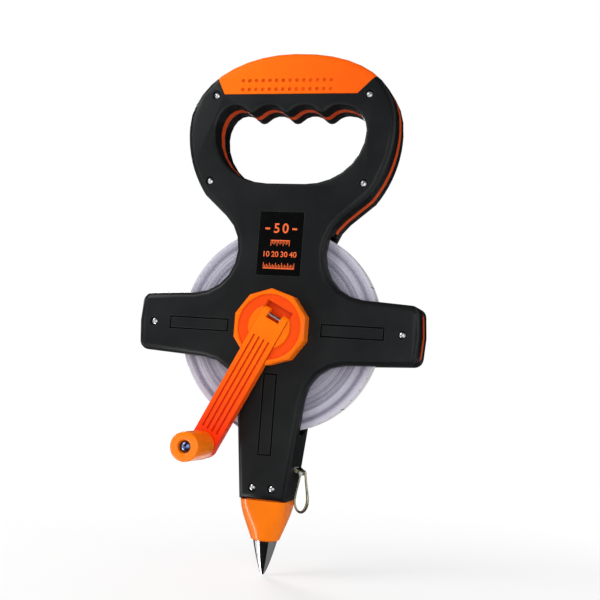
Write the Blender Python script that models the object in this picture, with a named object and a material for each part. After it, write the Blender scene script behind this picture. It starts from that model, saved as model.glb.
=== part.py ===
"""Surveyor tape reel: an open cross-shaped frame with a hand grip, a long tape on a drum,
a folding crank and a ground spike.

Metres, +Z up. The face with the crank looks along -Y. The origin is the tip of the ground
spike, in the middle plane of the frame.
"""

import math

import bmesh
import bpy
import numpy as np
from mathutils import Matrix

# ---------------------------------------------------------------- clearances
GAP = 0.0003               # between pieces that touch or fit together
RUNNING_GAP = 0.0010       # between the moving reel or crank and the frame
PAST = 0.0010              # how far a cutter runs past a face
THROUGH = 0.0300           # half of a cutter that goes through everything

# ---------------------------------------------------------------- frame, across Y
CORE_THICKNESS = 0.0070    # orange middle layer
SHELL_DEPTH = 0.0142       # one black shell, from its face to its seam
PLATE = 0.0030             # face of a shell
WALL = 0.0026              # rim of a shell
EDGE_ROUND = 0.0045        # round between face and rim

# ---------------------------------------------------------------- frame, up Z
SPIKE_LENGTH = 0.0260
NOSE_HEIGHT = 0.0302
LEG_LENGTH = 0.1277        # nose to reel axis
HANDLE_RISE = 0.1535       # reel axis to the middle of the handle

# ---------------------------------------------------------------- handle ring
HANDLE_HALF_WIDTH = 0.0825
HANDLE_TOP_RISE = 0.0578
HANDLE_FULLNESS_LEFT = 2.05    # power of the oval above the middle; 2 is an ellipse, more is squarer
HANDLE_FULLNESS_RIGHT = 2.30
HANDLE_DROP = 0.0860
GRIP_END_INSET = 0.0310    # right end of the grip's front edge to the widest level of the handle
GRIP_LEFT_REACH = 0.0029   # the left end lies this much farther from the middle than the right one
GRIP_SEAT_RISE = 0.0252    # from the middle of the handle to the grip's front edge
GRIP_END_RISE = 0.0140     # from the grip's front edge to the top of its slanted ends
TONGUE_END = 0.0060        # from the end of the grip's front edge to the end of the core's tongue
TONGUE_COVER = 0.0085      # of the grip over the tongue
TONGUE_FALL = 0.0035       # of the tongue's top, from its middle to its shoulder
TONGUE_SHOULDER = 0.0130   # from the tongue's top to its end corner
TONGUE_ROUND = 0.0040      # at its end corner
TONGUE_ROOT = 0.0030       # of the tongue below the grip's seat
HANDLE_BAND = 0.0229       # width of the ring at the sides of the opening
OPENING_DROP = 0.0437      # middle of the handle to the bottom of the opening
OPENING_FLAT = 0.0150      # half of its straight bottom edge
OPENING_SHOULDER = 0.0030  # widest level of the opening, below the middle of the handle
FINGER_PITCH = 0.0280
FINGER_RADIUS = 0.0134
FINGER_DEPTH = 0.0062      # of a valley, from the lowest points of the lobes beside it
FINGER_TOP_RISE = 0.0170   # top of a finger valley above the middle of the handle
FINGER_SHIFT = -0.0034     # of the row of valleys, along x

# ---------------------------------------------------------------- cross and leg
NECK_HALF_WIDTH = 0.0345
NECK_ROUND = 0.0340
NECK_RISE = 0.0740         # reel axis to the corner between neck and handle
ARM_REACH = 0.1100
ARM_ROOT_HALF_HEIGHT = 0.0262
ARM_TIP_HALF_HEIGHT = 0.0218
ARM_CORNER = 0.0070
ARM_END_STEP = 0.0015      # the arm's end is a blunt point, its corners this much back
SPACER_CORNER = 0.0080
LEG_TOP_HALF_WIDTH = 0.0285
LEG_BOTTOM_HALF_WIDTH = 0.0180
LEG_ROUND = 0.0310
GUIDE_TOP_DROP = 0.0550    # reel axis to the top of the tape guide
SLOT_SIDE_GAP = 0.0007     # tape edge to the side of its slot
OPENING_BEVEL = ((0.0, 0.0022), (0.0007, 0.0009), (0.0024, 0.0))   # outwards, below the face

# ---------------------------------------------------------------- reel
TAPE_WIDTH = 0.0130
TAPE_PACK_RADIUS = 0.0780
TAPE_THICKNESS = 0.00045   # drawn thicker than the real ribbon, so that it stays a solid
TURN_PITCH = 0.0009        # one outer turn to the next
OUTER_TURNS = 3
POINTS_PER_TURN = 24
DRUM_RADIUS = 0.0300
DRUM_RIM = 0.0030
DRUM_BOSS_RADIUS = 0.0095
DRUM_WEB = 0.0040
AXLE_HEX_RADIUS = 0.0052   # across corners, halved
AXLE_JOURNAL_RADIUS = 0.0044
BUSH_WALL = 0.0018
BUSH_FLANGE = 0.0006
WASHER_RADIUS = 0.0098
WASHER_THICKNESS = 0.0010
CAP_HEIGHT = 0.0050
BAY_CLEARANCE = 0.0035     # round the tape pack
BAY_SIDE_CLEARANCE = 0.0020

# ---------------------------------------------------------------- crank
HUB_RADIUS = 0.0285
HUB_SIDES = 10
HUB_BACK_GAP = 0.0008      # hub to frame
HUB_DEPTH = 0.0120
HUB_FLOOR = 0.0035
HUB_RIM = 0.0045
HUB_RECESS = 0.0012
HUB_ISLAND_RADIUS = 0.0165
HUB_CHAMFER = 0.0012
HUB_SCREW_RADIUS = 0.0014
HUB_SCREW_HEAD = 0.0010
HUB_SCREW_HEAD_RADIUS = 0.0029
CRANK_ANGLE = math.radians(26.5)   # from straight down, towards -X
CRANK_RADIUS = 0.1010
CRANK_ROOT_WIDTH = 0.0215
CRANK_TIP_WIDTH = 0.0208
CRANK_THICKNESS = 0.0090
CRANK_TIP_REACH = 0.0100   # arm beyond the middle of the knob
CRANK_TIP_FULLNESS = 0.96  # 1 rounds the tip down to the level of the knob's middle, 0 leaves it square
CRANK_EDGE = 0.0012
CRANK_RIBS = 4
RIB_GROOVE = 0.0014
RIB_DEPTH = 0.0012
HINGE_OFFSET = 0.0080      # hinge pin behind the reel axis
HINGE_PIN_RADIUS = 0.0016
HINGE_BITE = 0.0040        # length of pin in each cheek of the hub
HINGE_WINDOW = 0.0110      # width of the gap that shows the pin
POCKET_REACH = 0.0170      # pocket of the hub, behind the reel axis
KNOB_RADIUS = 0.0108
KNOB_LENGTH = 0.0330
KNOB_EDGE = 0.0012
KNOB_BORE = 0.0027
KNOB_RECESS_RADIUS = 0.0048
KNOB_RECESS = 0.0035
KNOB_HEAD = 0.0020
KNOB_HEAD_GAP = 0.0008     # round the pin's head
KNOB_PIN_RADIUS = 0.0022
KNOB_PIN_BITE = 0.0070     # length of the pin in the arm

# ---------------------------------------------------------------- nose, spike and tape end
NOSE_TIP_RADIUS = 0.0108
SPIKE_RADIUS = 0.0095
SPIKE_TIP_RADIUS = 0.0006
SPIKE_SHANK_RADIUS = 0.0036
TENON_HEIGHT = 0.0140
NUT_HEIGHT = 0.0040
NUT_RADIUS = 0.0066
MOUTH_RISE = 0.0245        # tape mouth above the top of the nose
MOUTH_HEIGHT = 0.0022
CLIP_START = 0.0008        # inner end of the clip, outside the mouth
CLIP_LENGTH = 0.0027
CLIP_THICKNESS = 0.0026
CLIP_FOLD = 0.0008         # metal beyond the end of the tape
EAR_RADIUS = 0.0016
EAR_HALF_SPAN = 0.0042
HOOK_PIN_RADIUS = 0.0009
EYE_RADIUS = 0.0020        # of the hook's wire, at its middle
HOOK_WIRE_RADIUS = 0.0007
HOOK_HALF_WIDTH = 0.0050
HOOK_LENGTH = 0.0288
HOOK_BELLY = 0.0090        # height of the round lower end

# ---------------------------------------------------------------- screws and trim
SCREW_HEAD_RADIUS = 0.0028
SCREW_HEAD = 0.0013
SCREW_SHANK_RADIUS = 0.0014
SCREW_RECESS = 0.0017
SCREW_RECESS_RADIUS = 0.0036
SCREW_BITE = 0.0080        # length of thread in the far shell
BOSS_RADIUS = 0.0046
HANDLE_SCREW_EDGE = 0.0218 # screw to the widest level of the handle's edge
HANDLE_SCREW_HIGH = 0.429  # of the handle's height above its middle
HANDLE_SCREW_LOW = 0.498   # of the handle's depth below its middle
ARM_SCREW_EDGE = 0.0129    # screw to the arm's end
LEG_SCREW_X = 0.0075
LEG_SCREW_RISE = 0.0090
LABEL_WIDTH = 0.0340
LABEL_HEIGHT = 0.0480
LABEL_RISE = 0.0635
LABEL_THICKNESS = 0.0006
PANEL_INNER = 0.0360       # engraved panel of an arm: start, distance to the arm's end, height
PANEL_EDGE = 0.0260
PANEL_HEIGHT = 0.0100
LEG_PANEL_TOP = 0.0340     # engraved panel of the leg, below the reel axis
LEG_PANEL_BOTTOM = 0.0950
LEG_PANEL_WIDTH = 0.0108
PANEL_LINE = 0.0012
PANEL_DEPTH = 0.0006

# ---------------------------------------------------------------- worked out from the above
NOSE_TOP = SPIKE_LENGTH + NOSE_HEIGHT
LEG_BOTTOM = NOSE_TOP + GAP
AXIS_Z = LEG_BOTTOM + LEG_LENGTH
REEL_AXIS = (0, AXIS_Z)
HANDLE_Z = AXIS_Z + HANDLE_RISE
SEAM_Y = CORE_THICKNESS / 2 + GAP
FACE_Y = SEAM_Y + SHELL_DEPTH
PLATE_INNER_Y = FACE_Y - PLATE
SCREW_TIP_Y = SEAM_Y + SCREW_BITE
BAY_RADIUS = TAPE_PACK_RADIUS + BAY_CLEARANCE
BAY_HALF_WIDTH = TAPE_WIDTH / 2 + BAY_SIDE_CLEARANCE
GRIP_SEAT_Z = HANDLE_Z + GRIP_SEAT_RISE
HUB_BACK_Y = -(FACE_Y + HUB_BACK_GAP)
HUB_FRONT_Y = HUB_BACK_Y - HUB_DEPTH
HUB_FLOOR_Y = HUB_BACK_Y - HUB_FLOOR
CRANK_BACK_Y = HUB_FLOOR_Y - GAP
CRANK_FRONT_Y = CRANK_BACK_Y - CRANK_THICKNESS
HINGE_Y = (CRANK_BACK_Y + CRANK_FRONT_Y) / 2
KNUCKLE_RADIUS = CRANK_THICKNESS / 2
KNOB_BACK_Y = CRANK_FRONT_Y - GAP
KNOB_FRONT_Y = KNOB_BACK_Y - KNOB_LENGTH
KNOB_PIN_END_Y = CRANK_FRONT_Y + KNOB_PIN_BITE
BUSH_BORE = AXLE_JOURNAL_RADIUS + GAP
BUSH_RADIUS = BUSH_BORE + BUSH_WALL
THRUST_Y = BAY_HALF_WIDTH - GAP - BUSH_FLANGE
DRIVE_RADIUS = AXLE_JOURNAL_RADIUS - 0.0002
DRIVE_END_Y = HUB_BACK_Y - HUB_FLOOR * 0.45
HUB_SCREW_TIP_Y = -BAY_HALF_WIDTH
WASHER_Y = FACE_Y - WASHER_THICKNESS
WASHER_FLOOR_Y = WASHER_Y - GAP
CAP_Y = WASHER_Y + WASHER_THICKNESS + GAP
AXLE_END_Y = CAP_Y + CAP_HEIGHT * 0.5
TENON_TOP = NOSE_TOP + TENON_HEIGHT
NUT_Z = TENON_TOP + GAP
SHANK_TOP = NUT_Z + NUT_HEIGHT + RUNNING_GAP
GUIDE_FOOT_Z = SHANK_TOP + RUNNING_GAP
GRIP_HALF_LENGTH = HANDLE_HALF_WIDTH - GRIP_END_INSET
LOBE_RADIUS = ((FINGER_PITCH / 2) ** 2 + FINGER_DEPTH ** 2) / (2 * FINGER_DEPTH) - FINGER_RADIUS
OPENING_HALF_WIDTH = HANDLE_HALF_WIDTH - HANDLE_BAND
PANEL_OUTER = ARM_REACH - PANEL_EDGE
ARM_SCREW_X = ARM_REACH - ARM_SCREW_EDGE
HANDLE_SCREW_X = HANDLE_HALF_WIDTH - HANDLE_SCREW_EDGE
HANDLE_SCREW_Z = (HANDLE_Z + HANDLE_SCREW_HIGH * HANDLE_TOP_RISE,
                  HANDLE_Z - HANDLE_SCREW_LOW * HANDLE_DROP)
LEG_SCREW_Z = NOSE_TOP + LEG_SCREW_RISE
FRAME_SCREWS = ([(s * HANDLE_SCREW_X, z) for z in HANDLE_SCREW_Z for s in (-1, 1)]
                + [(s * ARM_SCREW_X, AXIS_Z) for s in (-1, 1)])
LEG_SCREWS = [(s * LEG_SCREW_X, LEG_SCREW_Z) for s in (-1, 1)]


# ================================================================ materials
def principled(name, colour, roughness, metallic=0.0):
    """A plain surface with a linear colour, a roughness and a metallic value."""
    material = bpy.data.materials.new(name)
    material.use_nodes = True
    shader = material.node_tree.nodes["Principled BSDF"]
    shader.inputs["Base Color"].default_value = (*colour, 1.0)
    shader.inputs["Roughness"].default_value = roughness
    shader.inputs["Metallic"].default_value = metallic
    return material


FINISHES = {
    "black_plastic": ((0.016, 0.017, 0.018), 0.45, 0.0),
    "orange_plastic": ((1.0, 0.17, 0.0), 0.35, 0.0),
    "orange_grip": ((1.0, 0.19, 0.0), 0.5, 0.0),
    "label": ((0.004, 0.004, 0.005), 0.3, 0.0),
    "tape": ((0.62, 0.60, 0.68), 0.5, 0.0),
    "steel": ((0.55, 0.55, 0.56), 0.3, 1.0),
    "chrome": ((0.8, 0.8, 0.82), 0.08, 1.0),
    "nickel": ((0.5, 0.49, 0.44), 0.28, 1.0),
    "bronze": ((0.45, 0.25, 0.1), 0.4, 1.0),
}


# ================================================================ outlines in the XZ plane
def arc(centre, radii, start, end, steps):
    """Points of an ellipse about centre, from start to end in degrees, ends included."""
    angles = np.radians(np.linspace(start, end, steps + 1))
    return [(centre[0] + radii[0] * math.cos(a), centre[1] + radii[1] * math.sin(a)) for a in angles]


def corner(before, here, after):
    """The turn at here, the unit vectors to its neighbours and their distances."""
    back, on = np.subtract(before, here), np.subtract(after, here)
    lengths = np.linalg.norm(back), np.linalg.norm(on)
    back, on = back / lengths[0], on / lengths[1]
    return math.pi - math.acos(np.clip(back @ on, -1, 1)), back, on, lengths


def filleted(corners, step=math.radians(18), fill=0.98):
    """An open path through corners (x, z, radius), each corner rounded by its radius.

    Where two roundings need more than the run between their corners, both give way alike.
    """
    places = [(x, z) for x, z, _ in corners]
    bends = {i: corner(*places[i - 1:i + 2]) for i in range(1, len(corners) - 1) if corners[i][2] > 0}
    reach = {i: corners[i][2] * math.tan(bend[0] / 2) for i, bend in bends.items()}
    share = {i: min(1, *(fill * bend[3][k] / (reach[i] + reach.get(i - 1 + 2 * k, 0)) for k in (0, 1)))
             for i, bend in bends.items()}
    path = []
    for i, place in enumerate(places):
        if i not in bends:
            path.append(place)
            continue
        turn, back, on, _ = bends[i]
        radius = corners[i][2] * share[i]
        bisector = (back + on) / np.linalg.norm(back + on)
        centre = place + bisector * radius / math.cos(turn / 2)
        first = place + back * reach[i] * share[i] - centre
        last = place + on * reach[i] * share[i] - centre
        steps = max(2, round(turn / step))
        for t in np.linspace(0, 1, steps + 1):
            point = (math.sin((1 - t) * turn) * first + math.sin(t * turn) * last) / math.sin(turn)
            path.append(tuple(centre + point))
    return path


def both_sides(right, left):
    """A closed outline of two halves that run from x = 0 to x = 0, the left one given as if on +X."""
    return right + [(-x, z) for x, z in reversed(left) if abs(x) > 1e-7]


def mirrored(half):
    """A closed outline from its right half, which runs from x = 0 to x = 0."""
    return both_sides(half, half)


def inset(outline, distance):
    """The outline moved towards its inside by distance; a negative distance moves it out."""
    p = np.array(outline)
    area = np.sum(p[:, 0] * np.roll(p[:, 1], -1) - np.roll(p[:, 0], -1) * p[:, 1])
    edge = np.roll(p, -1, axis=0) - p
    edge /= np.linalg.norm(edge, axis=1)[:, None]
    normal = np.stack((-edge[:, 1], edge[:, 0]), axis=1) * math.copysign(1, area)
    mitre = normal + np.roll(normal, 1, axis=0)
    mitre /= np.sum(mitre * normal, axis=1)[:, None]
    return [tuple(q) for q in p + mitre * distance]


def handle_fullness(side):
    return HANDLE_FULLNESS_RIGHT if side > 0 else HANDLE_FULLNESS_LEFT


def handle_crown(side, start_z, steps):
    """The handle's outer edge on one side, from start_z down to its middle, as if on +X: a quarter oval."""
    power = 2 / handle_fullness(side)
    start = math.asin(min(1, (start_z - HANDLE_Z) / HANDLE_TOP_RISE) ** (1 / power))
    return [(HANDLE_HALF_WIDTH * math.cos(a) ** power, HANDLE_Z + HANDLE_TOP_RISE * math.sin(a) ** power)
            for a in np.linspace(start, 0, steps + 1)]


def handle_side(side, start_z, end_z, steps):
    """The handle's outer edge on one side, as if on +X: an oval above its middle, an ellipse below."""
    fall = math.degrees(math.asin((end_z - HANDLE_Z) / HANDLE_DROP))
    lower = arc((0, HANDLE_Z), (HANDLE_HALF_WIDTH, HANDLE_DROP), 0, fall, steps)
    return handle_crown(side, start_z, steps) + lower[1:]


def grip_reach(side):
    """Half the length of the grip's front edge, on one side."""
    return GRIP_HALF_LENGTH + (GRIP_LEFT_REACH if side < 0 else 0)


def grip_end(side):
    """Where the grip's slanted end meets the handle's outer edge, as if on +X."""
    rise = GRIP_SEAT_RISE + GRIP_END_RISE
    full = handle_fullness(side)
    x = HANDLE_HALF_WIDTH * (1 - (rise / HANDLE_TOP_RISE) ** full) ** (1 / full)
    return x, HANDLE_Z + rise


def leg_half_width(z):
    """Half-width of the straight leg at the level z."""
    share = (z - LEG_BOTTOM) / (AXIS_Z - ARM_ROOT_HALF_HEIGHT - LEG_BOTTOM)
    return LEG_BOTTOM_HALF_WIDTH + share * (LEG_TOP_HALF_WIDTH - LEG_BOTTOM_HALF_WIDTH)


def frame_half(side, whole):
    """One side of a shell's silhouette, as if on +X; a whole one has the grip's place filled."""
    shoulder_z = HANDLE_Z - 0.62 * HANDLE_DROP
    if whole:
        handle = handle_side(side, HANDLE_Z + HANDLE_TOP_RISE, shoulder_z, 10)
    else:
        handle = [(0, GRIP_SEAT_Z), (grip_reach(side), GRIP_SEAT_Z)]
        handle += handle_side(side, grip_end(side)[1], shoulder_z, 7)
    cross = filleted([
        (*handle[-1], 0),
        (NECK_HALF_WIDTH, AXIS_Z + NECK_RISE, NECK_ROUND),
        (NECK_HALF_WIDTH, AXIS_Z + ARM_ROOT_HALF_HEIGHT, NECK_ROUND),
        (ARM_REACH - ARM_END_STEP, AXIS_Z + ARM_TIP_HALF_HEIGHT, ARM_CORNER),
        (ARM_REACH, AXIS_Z, 0),
        (ARM_REACH - ARM_END_STEP, AXIS_Z - ARM_TIP_HALF_HEIGHT, ARM_CORNER),
        (LEG_TOP_HALF_WIDTH, AXIS_Z - ARM_ROOT_HALF_HEIGHT, LEG_ROUND),
        (LEG_BOTTOM_HALF_WIDTH, LEG_BOTTOM, 0),
    ])
    return handle + cross[1:] + [(0, LEG_BOTTOM)]


def frame_outline(whole=False):
    """The whole silhouette of a shell: handle, neck, cross arms and leg."""
    return both_sides(frame_half(1, whole), frame_half(-1, whole))


def saddle_outline():
    """The grip's place, open far above the handle, from the right end of its front edge round to the left."""
    high = HANDLE_Z + 2 * HANDLE_TOP_RISE
    outline = []
    for side in (1, -1):
        foot, end = (grip_reach(side), GRIP_SEAT_Z), grip_end(side)
        beyond = (2 * end[0] - foot[0], 2 * end[1] - foot[1])
        part = [(side * x, z) for x, z in (foot, beyond, (beyond[0], high))]
        outline += part[::side]
    return outline


def opening_outline():
    """The hand opening: a flat bottom, elliptic corners and a row of finger valleys between round lobes."""
    shoulder = HANDLE_Z - OPENING_SHOULDER
    bottom = HANDLE_Z - OPENING_DROP
    top = HANDLE_Z + FINGER_TOP_RISE
    valley_z = top - FINGER_RADIUS
    lobe_z = top - FINGER_DEPTH + LOBE_RADIUS
    turn = math.degrees(math.asin(FINGER_PITCH / 2 / (FINGER_RADIUS + LOBE_RADIUS)))
    end = 1.5 * FINGER_PITCH
    corner_radii = (OPENING_HALF_WIDTH - OPENING_FLAT, shoulder - bottom)
    outline = arc((-OPENING_FLAT, shoulder), corner_radii, 180, 270, 7)
    outline += arc((OPENING_FLAT, shoulder), corner_radii, 270, 360, 7)
    right = end + FINGER_SHIFT
    outline += arc((right, shoulder), (OPENING_HALF_WIDTH - right, top - shoulder), 0, 90, 5)[1:]
    for k in range(4):
        x = right - k * FINGER_PITCH
        first, last = (90 if k == 0 else 90 - turn), (90 if k == 3 else 90 + turn)
        outline += arc((x, valley_z), (FINGER_RADIUS, FINGER_RADIUS), first, last, 3 if k in (0, 3) else 5)[1:]
        if k < 3:
            outline += arc((x - FINGER_PITCH / 2, lobe_z), (LOBE_RADIUS, LOBE_RADIUS), 270 + turn, 270 - turn, 4)[1:]
    left = end - FINGER_SHIFT
    outline += arc((-left, shoulder), (OPENING_HALF_WIDTH - left, top - shoulder), 90, 180, 5)[1:-1]
    return outline


# ================================================================ meshes
def finish(name, bm, material, smooth=None):
    """Make an object of a bmesh whose faces point outwards."""
    bmesh.ops.recalc_face_normals(bm, faces=bm.faces)
    mesh = bpy.data.meshes.new(name)
    bm.to_mesh(mesh)
    bm.free()
    thing = bpy.data.objects.new(name, mesh)
    bpy.context.scene.collection.objects.link(thing)
    if material:
        mesh.materials.append(MATERIALS[material])
    if smooth:
        mesh.shade_smooth()
        mesh.set_sharp_from_angle(angle=math.radians(smooth))
    return thing


def loft(name, rings, material=None, smooth=None, closed=False):
    """A body through rings of 3-D points, all with as many points, capped unless it is closed."""
    bm = bmesh.new()
    rows = [[bm.verts.new(p) for p in ring] for ring in rings]
    count = len(rows[0])
    pairs = list(zip(rows, rows[1:]))
    if closed:
        pairs.append((rows[-1], rows[0]))
    else:
        bm.faces.new(rows[0])
        bm.faces.new(rows[-1])
    for low, high in pairs:
        for i in range(count):
            j = (i + 1) % count
            bm.faces.new((low[i], low[j], high[j], high[i]))
    return finish(name, bm, material, smooth)


def slab(name, outlines, material=None, smooth=None):
    """A body through XZ outlines, given as (outline, y)."""
    return loft(name, [[(x, y, z) for x, z in outline] for outline, y in outlines], material, smooth)


def rounded_slab(name, outline, back, front, radius, material, both=False, steps=3):
    """A slab between the levels back and front, its front edge rounded; both rounds both edges."""
    sign = math.copysign(1, front - back)
    angles = [math.pi / 2 * k / steps for k in range(steps + 1)]
    rounding = [(inset(outline, radius * (1 - math.cos(a))), front - sign * radius * (1 - math.sin(a)))
                for a in angles]
    start = [(outline, back)]
    if both:
        start = [(inset(outline, radius * (1 - math.cos(a))), back + sign * radius * (1 - math.sin(a)))
                 for a in reversed(angles)]
    return slab(name, start + rounding, material)


def turned(name, profile, centre, material=None, segments=32, smooth=40, phase=0.0):
    """A body turned about Y through centre (x, z); profile is a closed list of (radius, y)."""
    rings = []
    for k in range(segments):
        a = 2 * math.pi * k / segments + phase
        rings.append([(centre[0] + r * math.cos(a), y, centre[1] + r * math.sin(a)) for r, y in profile])
    return loft(name, rings, material, smooth, closed=True)


def rod(name, stations, centre, material=None, segments=24, smooth=40, phase=0.0):
    """A solid body turned about Y through centre, as a stack of (radius, y) stations."""
    rings = [[(centre[0] + r * math.cos(a), y, centre[1] + r * math.sin(a))
              for a in (2 * math.pi * k / segments + phase for k in range(segments))]
             for r, y in stations]
    return loft(name, rings, material, smooth)


def post(name, stations, material=None, segments=24, smooth=40, phase=0.0):
    """A solid body turned about the Z axis, as a stack of (radius, z) stations."""
    rings = [[(r * math.cos(a), r * math.sin(a), z)
              for a in (2 * math.pi * k / segments + phase for k in range(segments))]
             for r, z in stations]
    return loft(name, rings, material, smooth)


def span(radius, start, end):
    """The two stations of a straight round bar."""
    return [(radius, start), (radius, end)]


def block(name, corners, back, front, material=None):
    """A slab with a straight-edged outline."""
    return slab(name, [(corners, back), (corners, front)], material)


def rectangle(left, right, low, high):
    return [(left, low), (right, low), (right, high), (left, high)]


def joined(name, things):
    """One object of several bodies that don't touch, used as one cutter."""
    bm = bmesh.new()
    for thing in things:
        bm.from_mesh(thing.data)
        bpy.data.objects.remove(thing)
    return finish(name, bm, None)


def modify(target, tool, operation):
    """Cut the target with the tool, or join the tool to it; the tool stays as a hidden guide."""
    modifier = target.modifiers.new(tool.name, "BOOLEAN")
    modifier.operation = operation
    modifier.object = tool
    modifier.solver = "EXACT"
    tool.hide_render = True
    tool.display_type = "WIRE"
    tool.parent = target
    return target


def cut(target, *tools):
    for tool in tools:
        modify(target, tool, "DIFFERENCE")
    return target


def join(target, *tools):
    for tool in tools:
        modify(target, tool, "UNION")
    return target


# ================================================================ crank directions
CRANK_ALONG = (-math.sin(CRANK_ANGLE), -math.cos(CRANK_ANGLE))
CRANK_ACROSS = (math.cos(CRANK_ANGLE), -math.sin(CRANK_ANGLE))


def on_crank(s, t):
    """The XZ point at s along the crank arm from the reel axis and t across it."""
    return (s * CRANK_ALONG[0] + t * CRANK_ACROSS[0],
            AXIS_Z + s * CRANK_ALONG[1] + t * CRANK_ACROSS[1])


def crank_outline(points):
    return [on_crank(s, t) for s, t in points]


KNOB_CENTRE = on_crank(CRANK_RADIUS, 0)
HINGE_PLACE = (on_crank(-HINGE_OFFSET, 0)[0], HINGE_Y, on_crank(-HINGE_OFFSET, 0)[1])


# ================================================================ tape route
def tangent_from(point):
    """Where a straight line from point touches the tape pack, on its lower left."""
    dx, dz = point[0], point[1] - AXIS_Z
    distance = math.hypot(dx, dz)
    radius = TAPE_PACK_RADIUS + TAPE_THICKNESS / 2 + GAP
    heading = math.atan2(dz, dx) - math.acos(radius / distance)
    return radius * math.cos(heading), AXIS_Z + radius * math.sin(heading)


MOUTH_Z = NOSE_TOP + MOUTH_RISE
MOUTH = (leg_half_width(MOUTH_Z), MOUTH_Z)
TAIL_START = tangent_from(MOUTH)
TAIL_LENGTH = math.dist(TAIL_START, MOUTH)
TAIL_ALONG = ((MOUTH[0] - TAIL_START[0]) / TAIL_LENGTH, (MOUTH[1] - TAIL_START[1]) / TAIL_LENGTH)
TAIL_ABOVE = (-TAIL_ALONG[1], TAIL_ALONG[0])
CLIP_END = CLIP_START + CLIP_LENGTH


def on_tail(s, h):
    """The XZ point at s along the free tape from the mouth and h above it."""
    return (MOUTH[0] + s * TAIL_ALONG[0] + h * TAIL_ABOVE[0],
            MOUTH[1] + s * TAIL_ALONG[1] + h * TAIL_ABOVE[1])


HOOK_PIVOT = on_tail(CLIP_END + EYE_RADIUS + HOOK_WIRE_RADIUS, 0)


def tail_box(name, start, end, half_height, half_width, material=None):
    """A box that lies along the free tape."""
    corners = [on_tail(start, -half_height), on_tail(end, -half_height),
               on_tail(end, half_height), on_tail(start, half_height)]
    return block(name, corners, -half_width, half_width, material)


# ================================================================ frame shells
def panel_lines(name, outer, side):
    """A cutter for a thin rectangular line in the face of a shell."""
    inner = inset(outer, PANEL_LINE)
    bottom = side * (FACE_Y - PANEL_DEPTH)
    above = side * (FACE_Y + PAST)
    rings = [[(x, y, z) for x, z in outline] for outline, y in
             ((outer, bottom), (outer, above), (inner, above), (inner, bottom))]
    return loft(name, rings, closed=True)


def shell(name, side):
    """One half of the frame; side is -1 for the front and 1 for the rear."""
    outline = frame_outline()
    opening = opening_outline()
    body = rounded_slab(name, frame_outline(whole=True), side * SEAM_Y, side * FACE_Y, EDGE_ROUND,
                        "black_plastic")
    inner_y = side * PLATE_INNER_Y
    beyond = side * (FACE_Y + PAST)

    hollow = inset(outline, WALL)
    foot = min(z for _, z in hollow)
    hollow = [(x, LEG_BOTTOM - PAST if z < foot + 1e-5 else z) for x, z in hollow]
    cavity = slab(name + "_cavity", [(hollow, inner_y), (hollow, -side * PAST)])
    saddle = block(name + "_saddle", saddle_outline(), -THROUGH, THROUGH)
    collar_outline = inset(opening, -WALL)
    rooted = inner_y + side * PLATE / 4
    collar = slab(name + "_collar", [(collar_outline, rooted), (collar_outline, side * SEAM_Y)])
    bosses = joined(name + "_bosses", [
        rod(f"boss_{i}", span(BOSS_RADIUS, side * SEAM_Y, rooted), place, segments=16)
        for i, place in enumerate(FRAME_SCREWS)])
    axle_boss = rod(name + "_axle_boss",
                    span(BUSH_RADIUS + GAP + WALL, side * (BAY_HALF_WIDTH - PAST), rooted), REEL_AXIS)
    bay = rod(name + "_bay", span(BAY_RADIUS, side * BAY_HALF_WIDTH, -side * PAST), REEL_AXIS, segments=96)
    edges = [(inset(opening, -out), side * (FACE_Y - depth)) for out, depth in OPENING_BEVEL]
    hand_hole = slab(name + "_opening", [(opening, -side * PAST), *edges, (edges[-1][0], beyond)])
    bush_hole = rod(name + "_bush_hole", span(BUSH_RADIUS + GAP, -side * PAST, beyond), REEL_AXIS)
    mouth = tail_box(name + "_mouth", -0.75 * TAIL_LENGTH, 4 * PAST, MOUTH_HEIGHT / 2,
                     TAPE_WIDTH / 2 + SLOT_SIDE_GAP)
    cut(body, cavity, saddle)
    join(body, collar, bosses, axle_boss)
    cut(body, hand_hole, bay, bush_hole, mouth)
    low, high = AXIS_Z - PANEL_HEIGHT / 2, AXIS_Z + PANEL_HEIGHT / 2
    half = LEG_PANEL_WIDTH / 2
    leg_panel = rectangle(-half, half, AXIS_Z - LEG_PANEL_BOTTOM, AXIS_Z - LEG_PANEL_TOP)
    panels = [panel_lines("panel_left", rectangle(-PANEL_OUTER, -PANEL_INNER, low, high), side),
              panel_lines("panel_right", rectangle(PANEL_INNER, PANEL_OUTER, low, high), side),
              panel_lines("panel_leg", leg_panel, side)]
    cut(body, joined(name + "_panels", panels))
    return body


def screw_holes(name, places, stations):
    """Stepped holes for a row of screws, as one cutter."""
    return joined(name, [rod(f"{name}_{i}", stations, place, segments=16) for i, place in enumerate(places)])


def label_outline(margin=0.0):
    """The label's rectangle on the neck, widened by margin."""
    half_width = LABEL_WIDTH / 2 + margin
    half_height = LABEL_HEIGHT / 2 + margin
    middle = AXIS_Z + LABEL_RISE
    return rectangle(-half_width, half_width, middle - half_height, middle + half_height)


def label_recess():
    return block("label_recess", label_outline(GAP), -(FACE_Y - LABEL_THICKNESS - GAP), -(FACE_Y + PAST))


def make_front_shell():
    front = shell("front_shell", -1)
    seat = -(FACE_Y - SCREW_RECESS)
    hole = SCREW_SHANK_RADIUS + GAP
    through = span(SCREW_RECESS_RADIUS, -(FACE_Y + PAST), seat) + span(hole, seat, PAST)
    cut(front, screw_holes("front_screw_holes", FRAME_SCREWS + LEG_SCREWS, through), label_recess())


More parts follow.
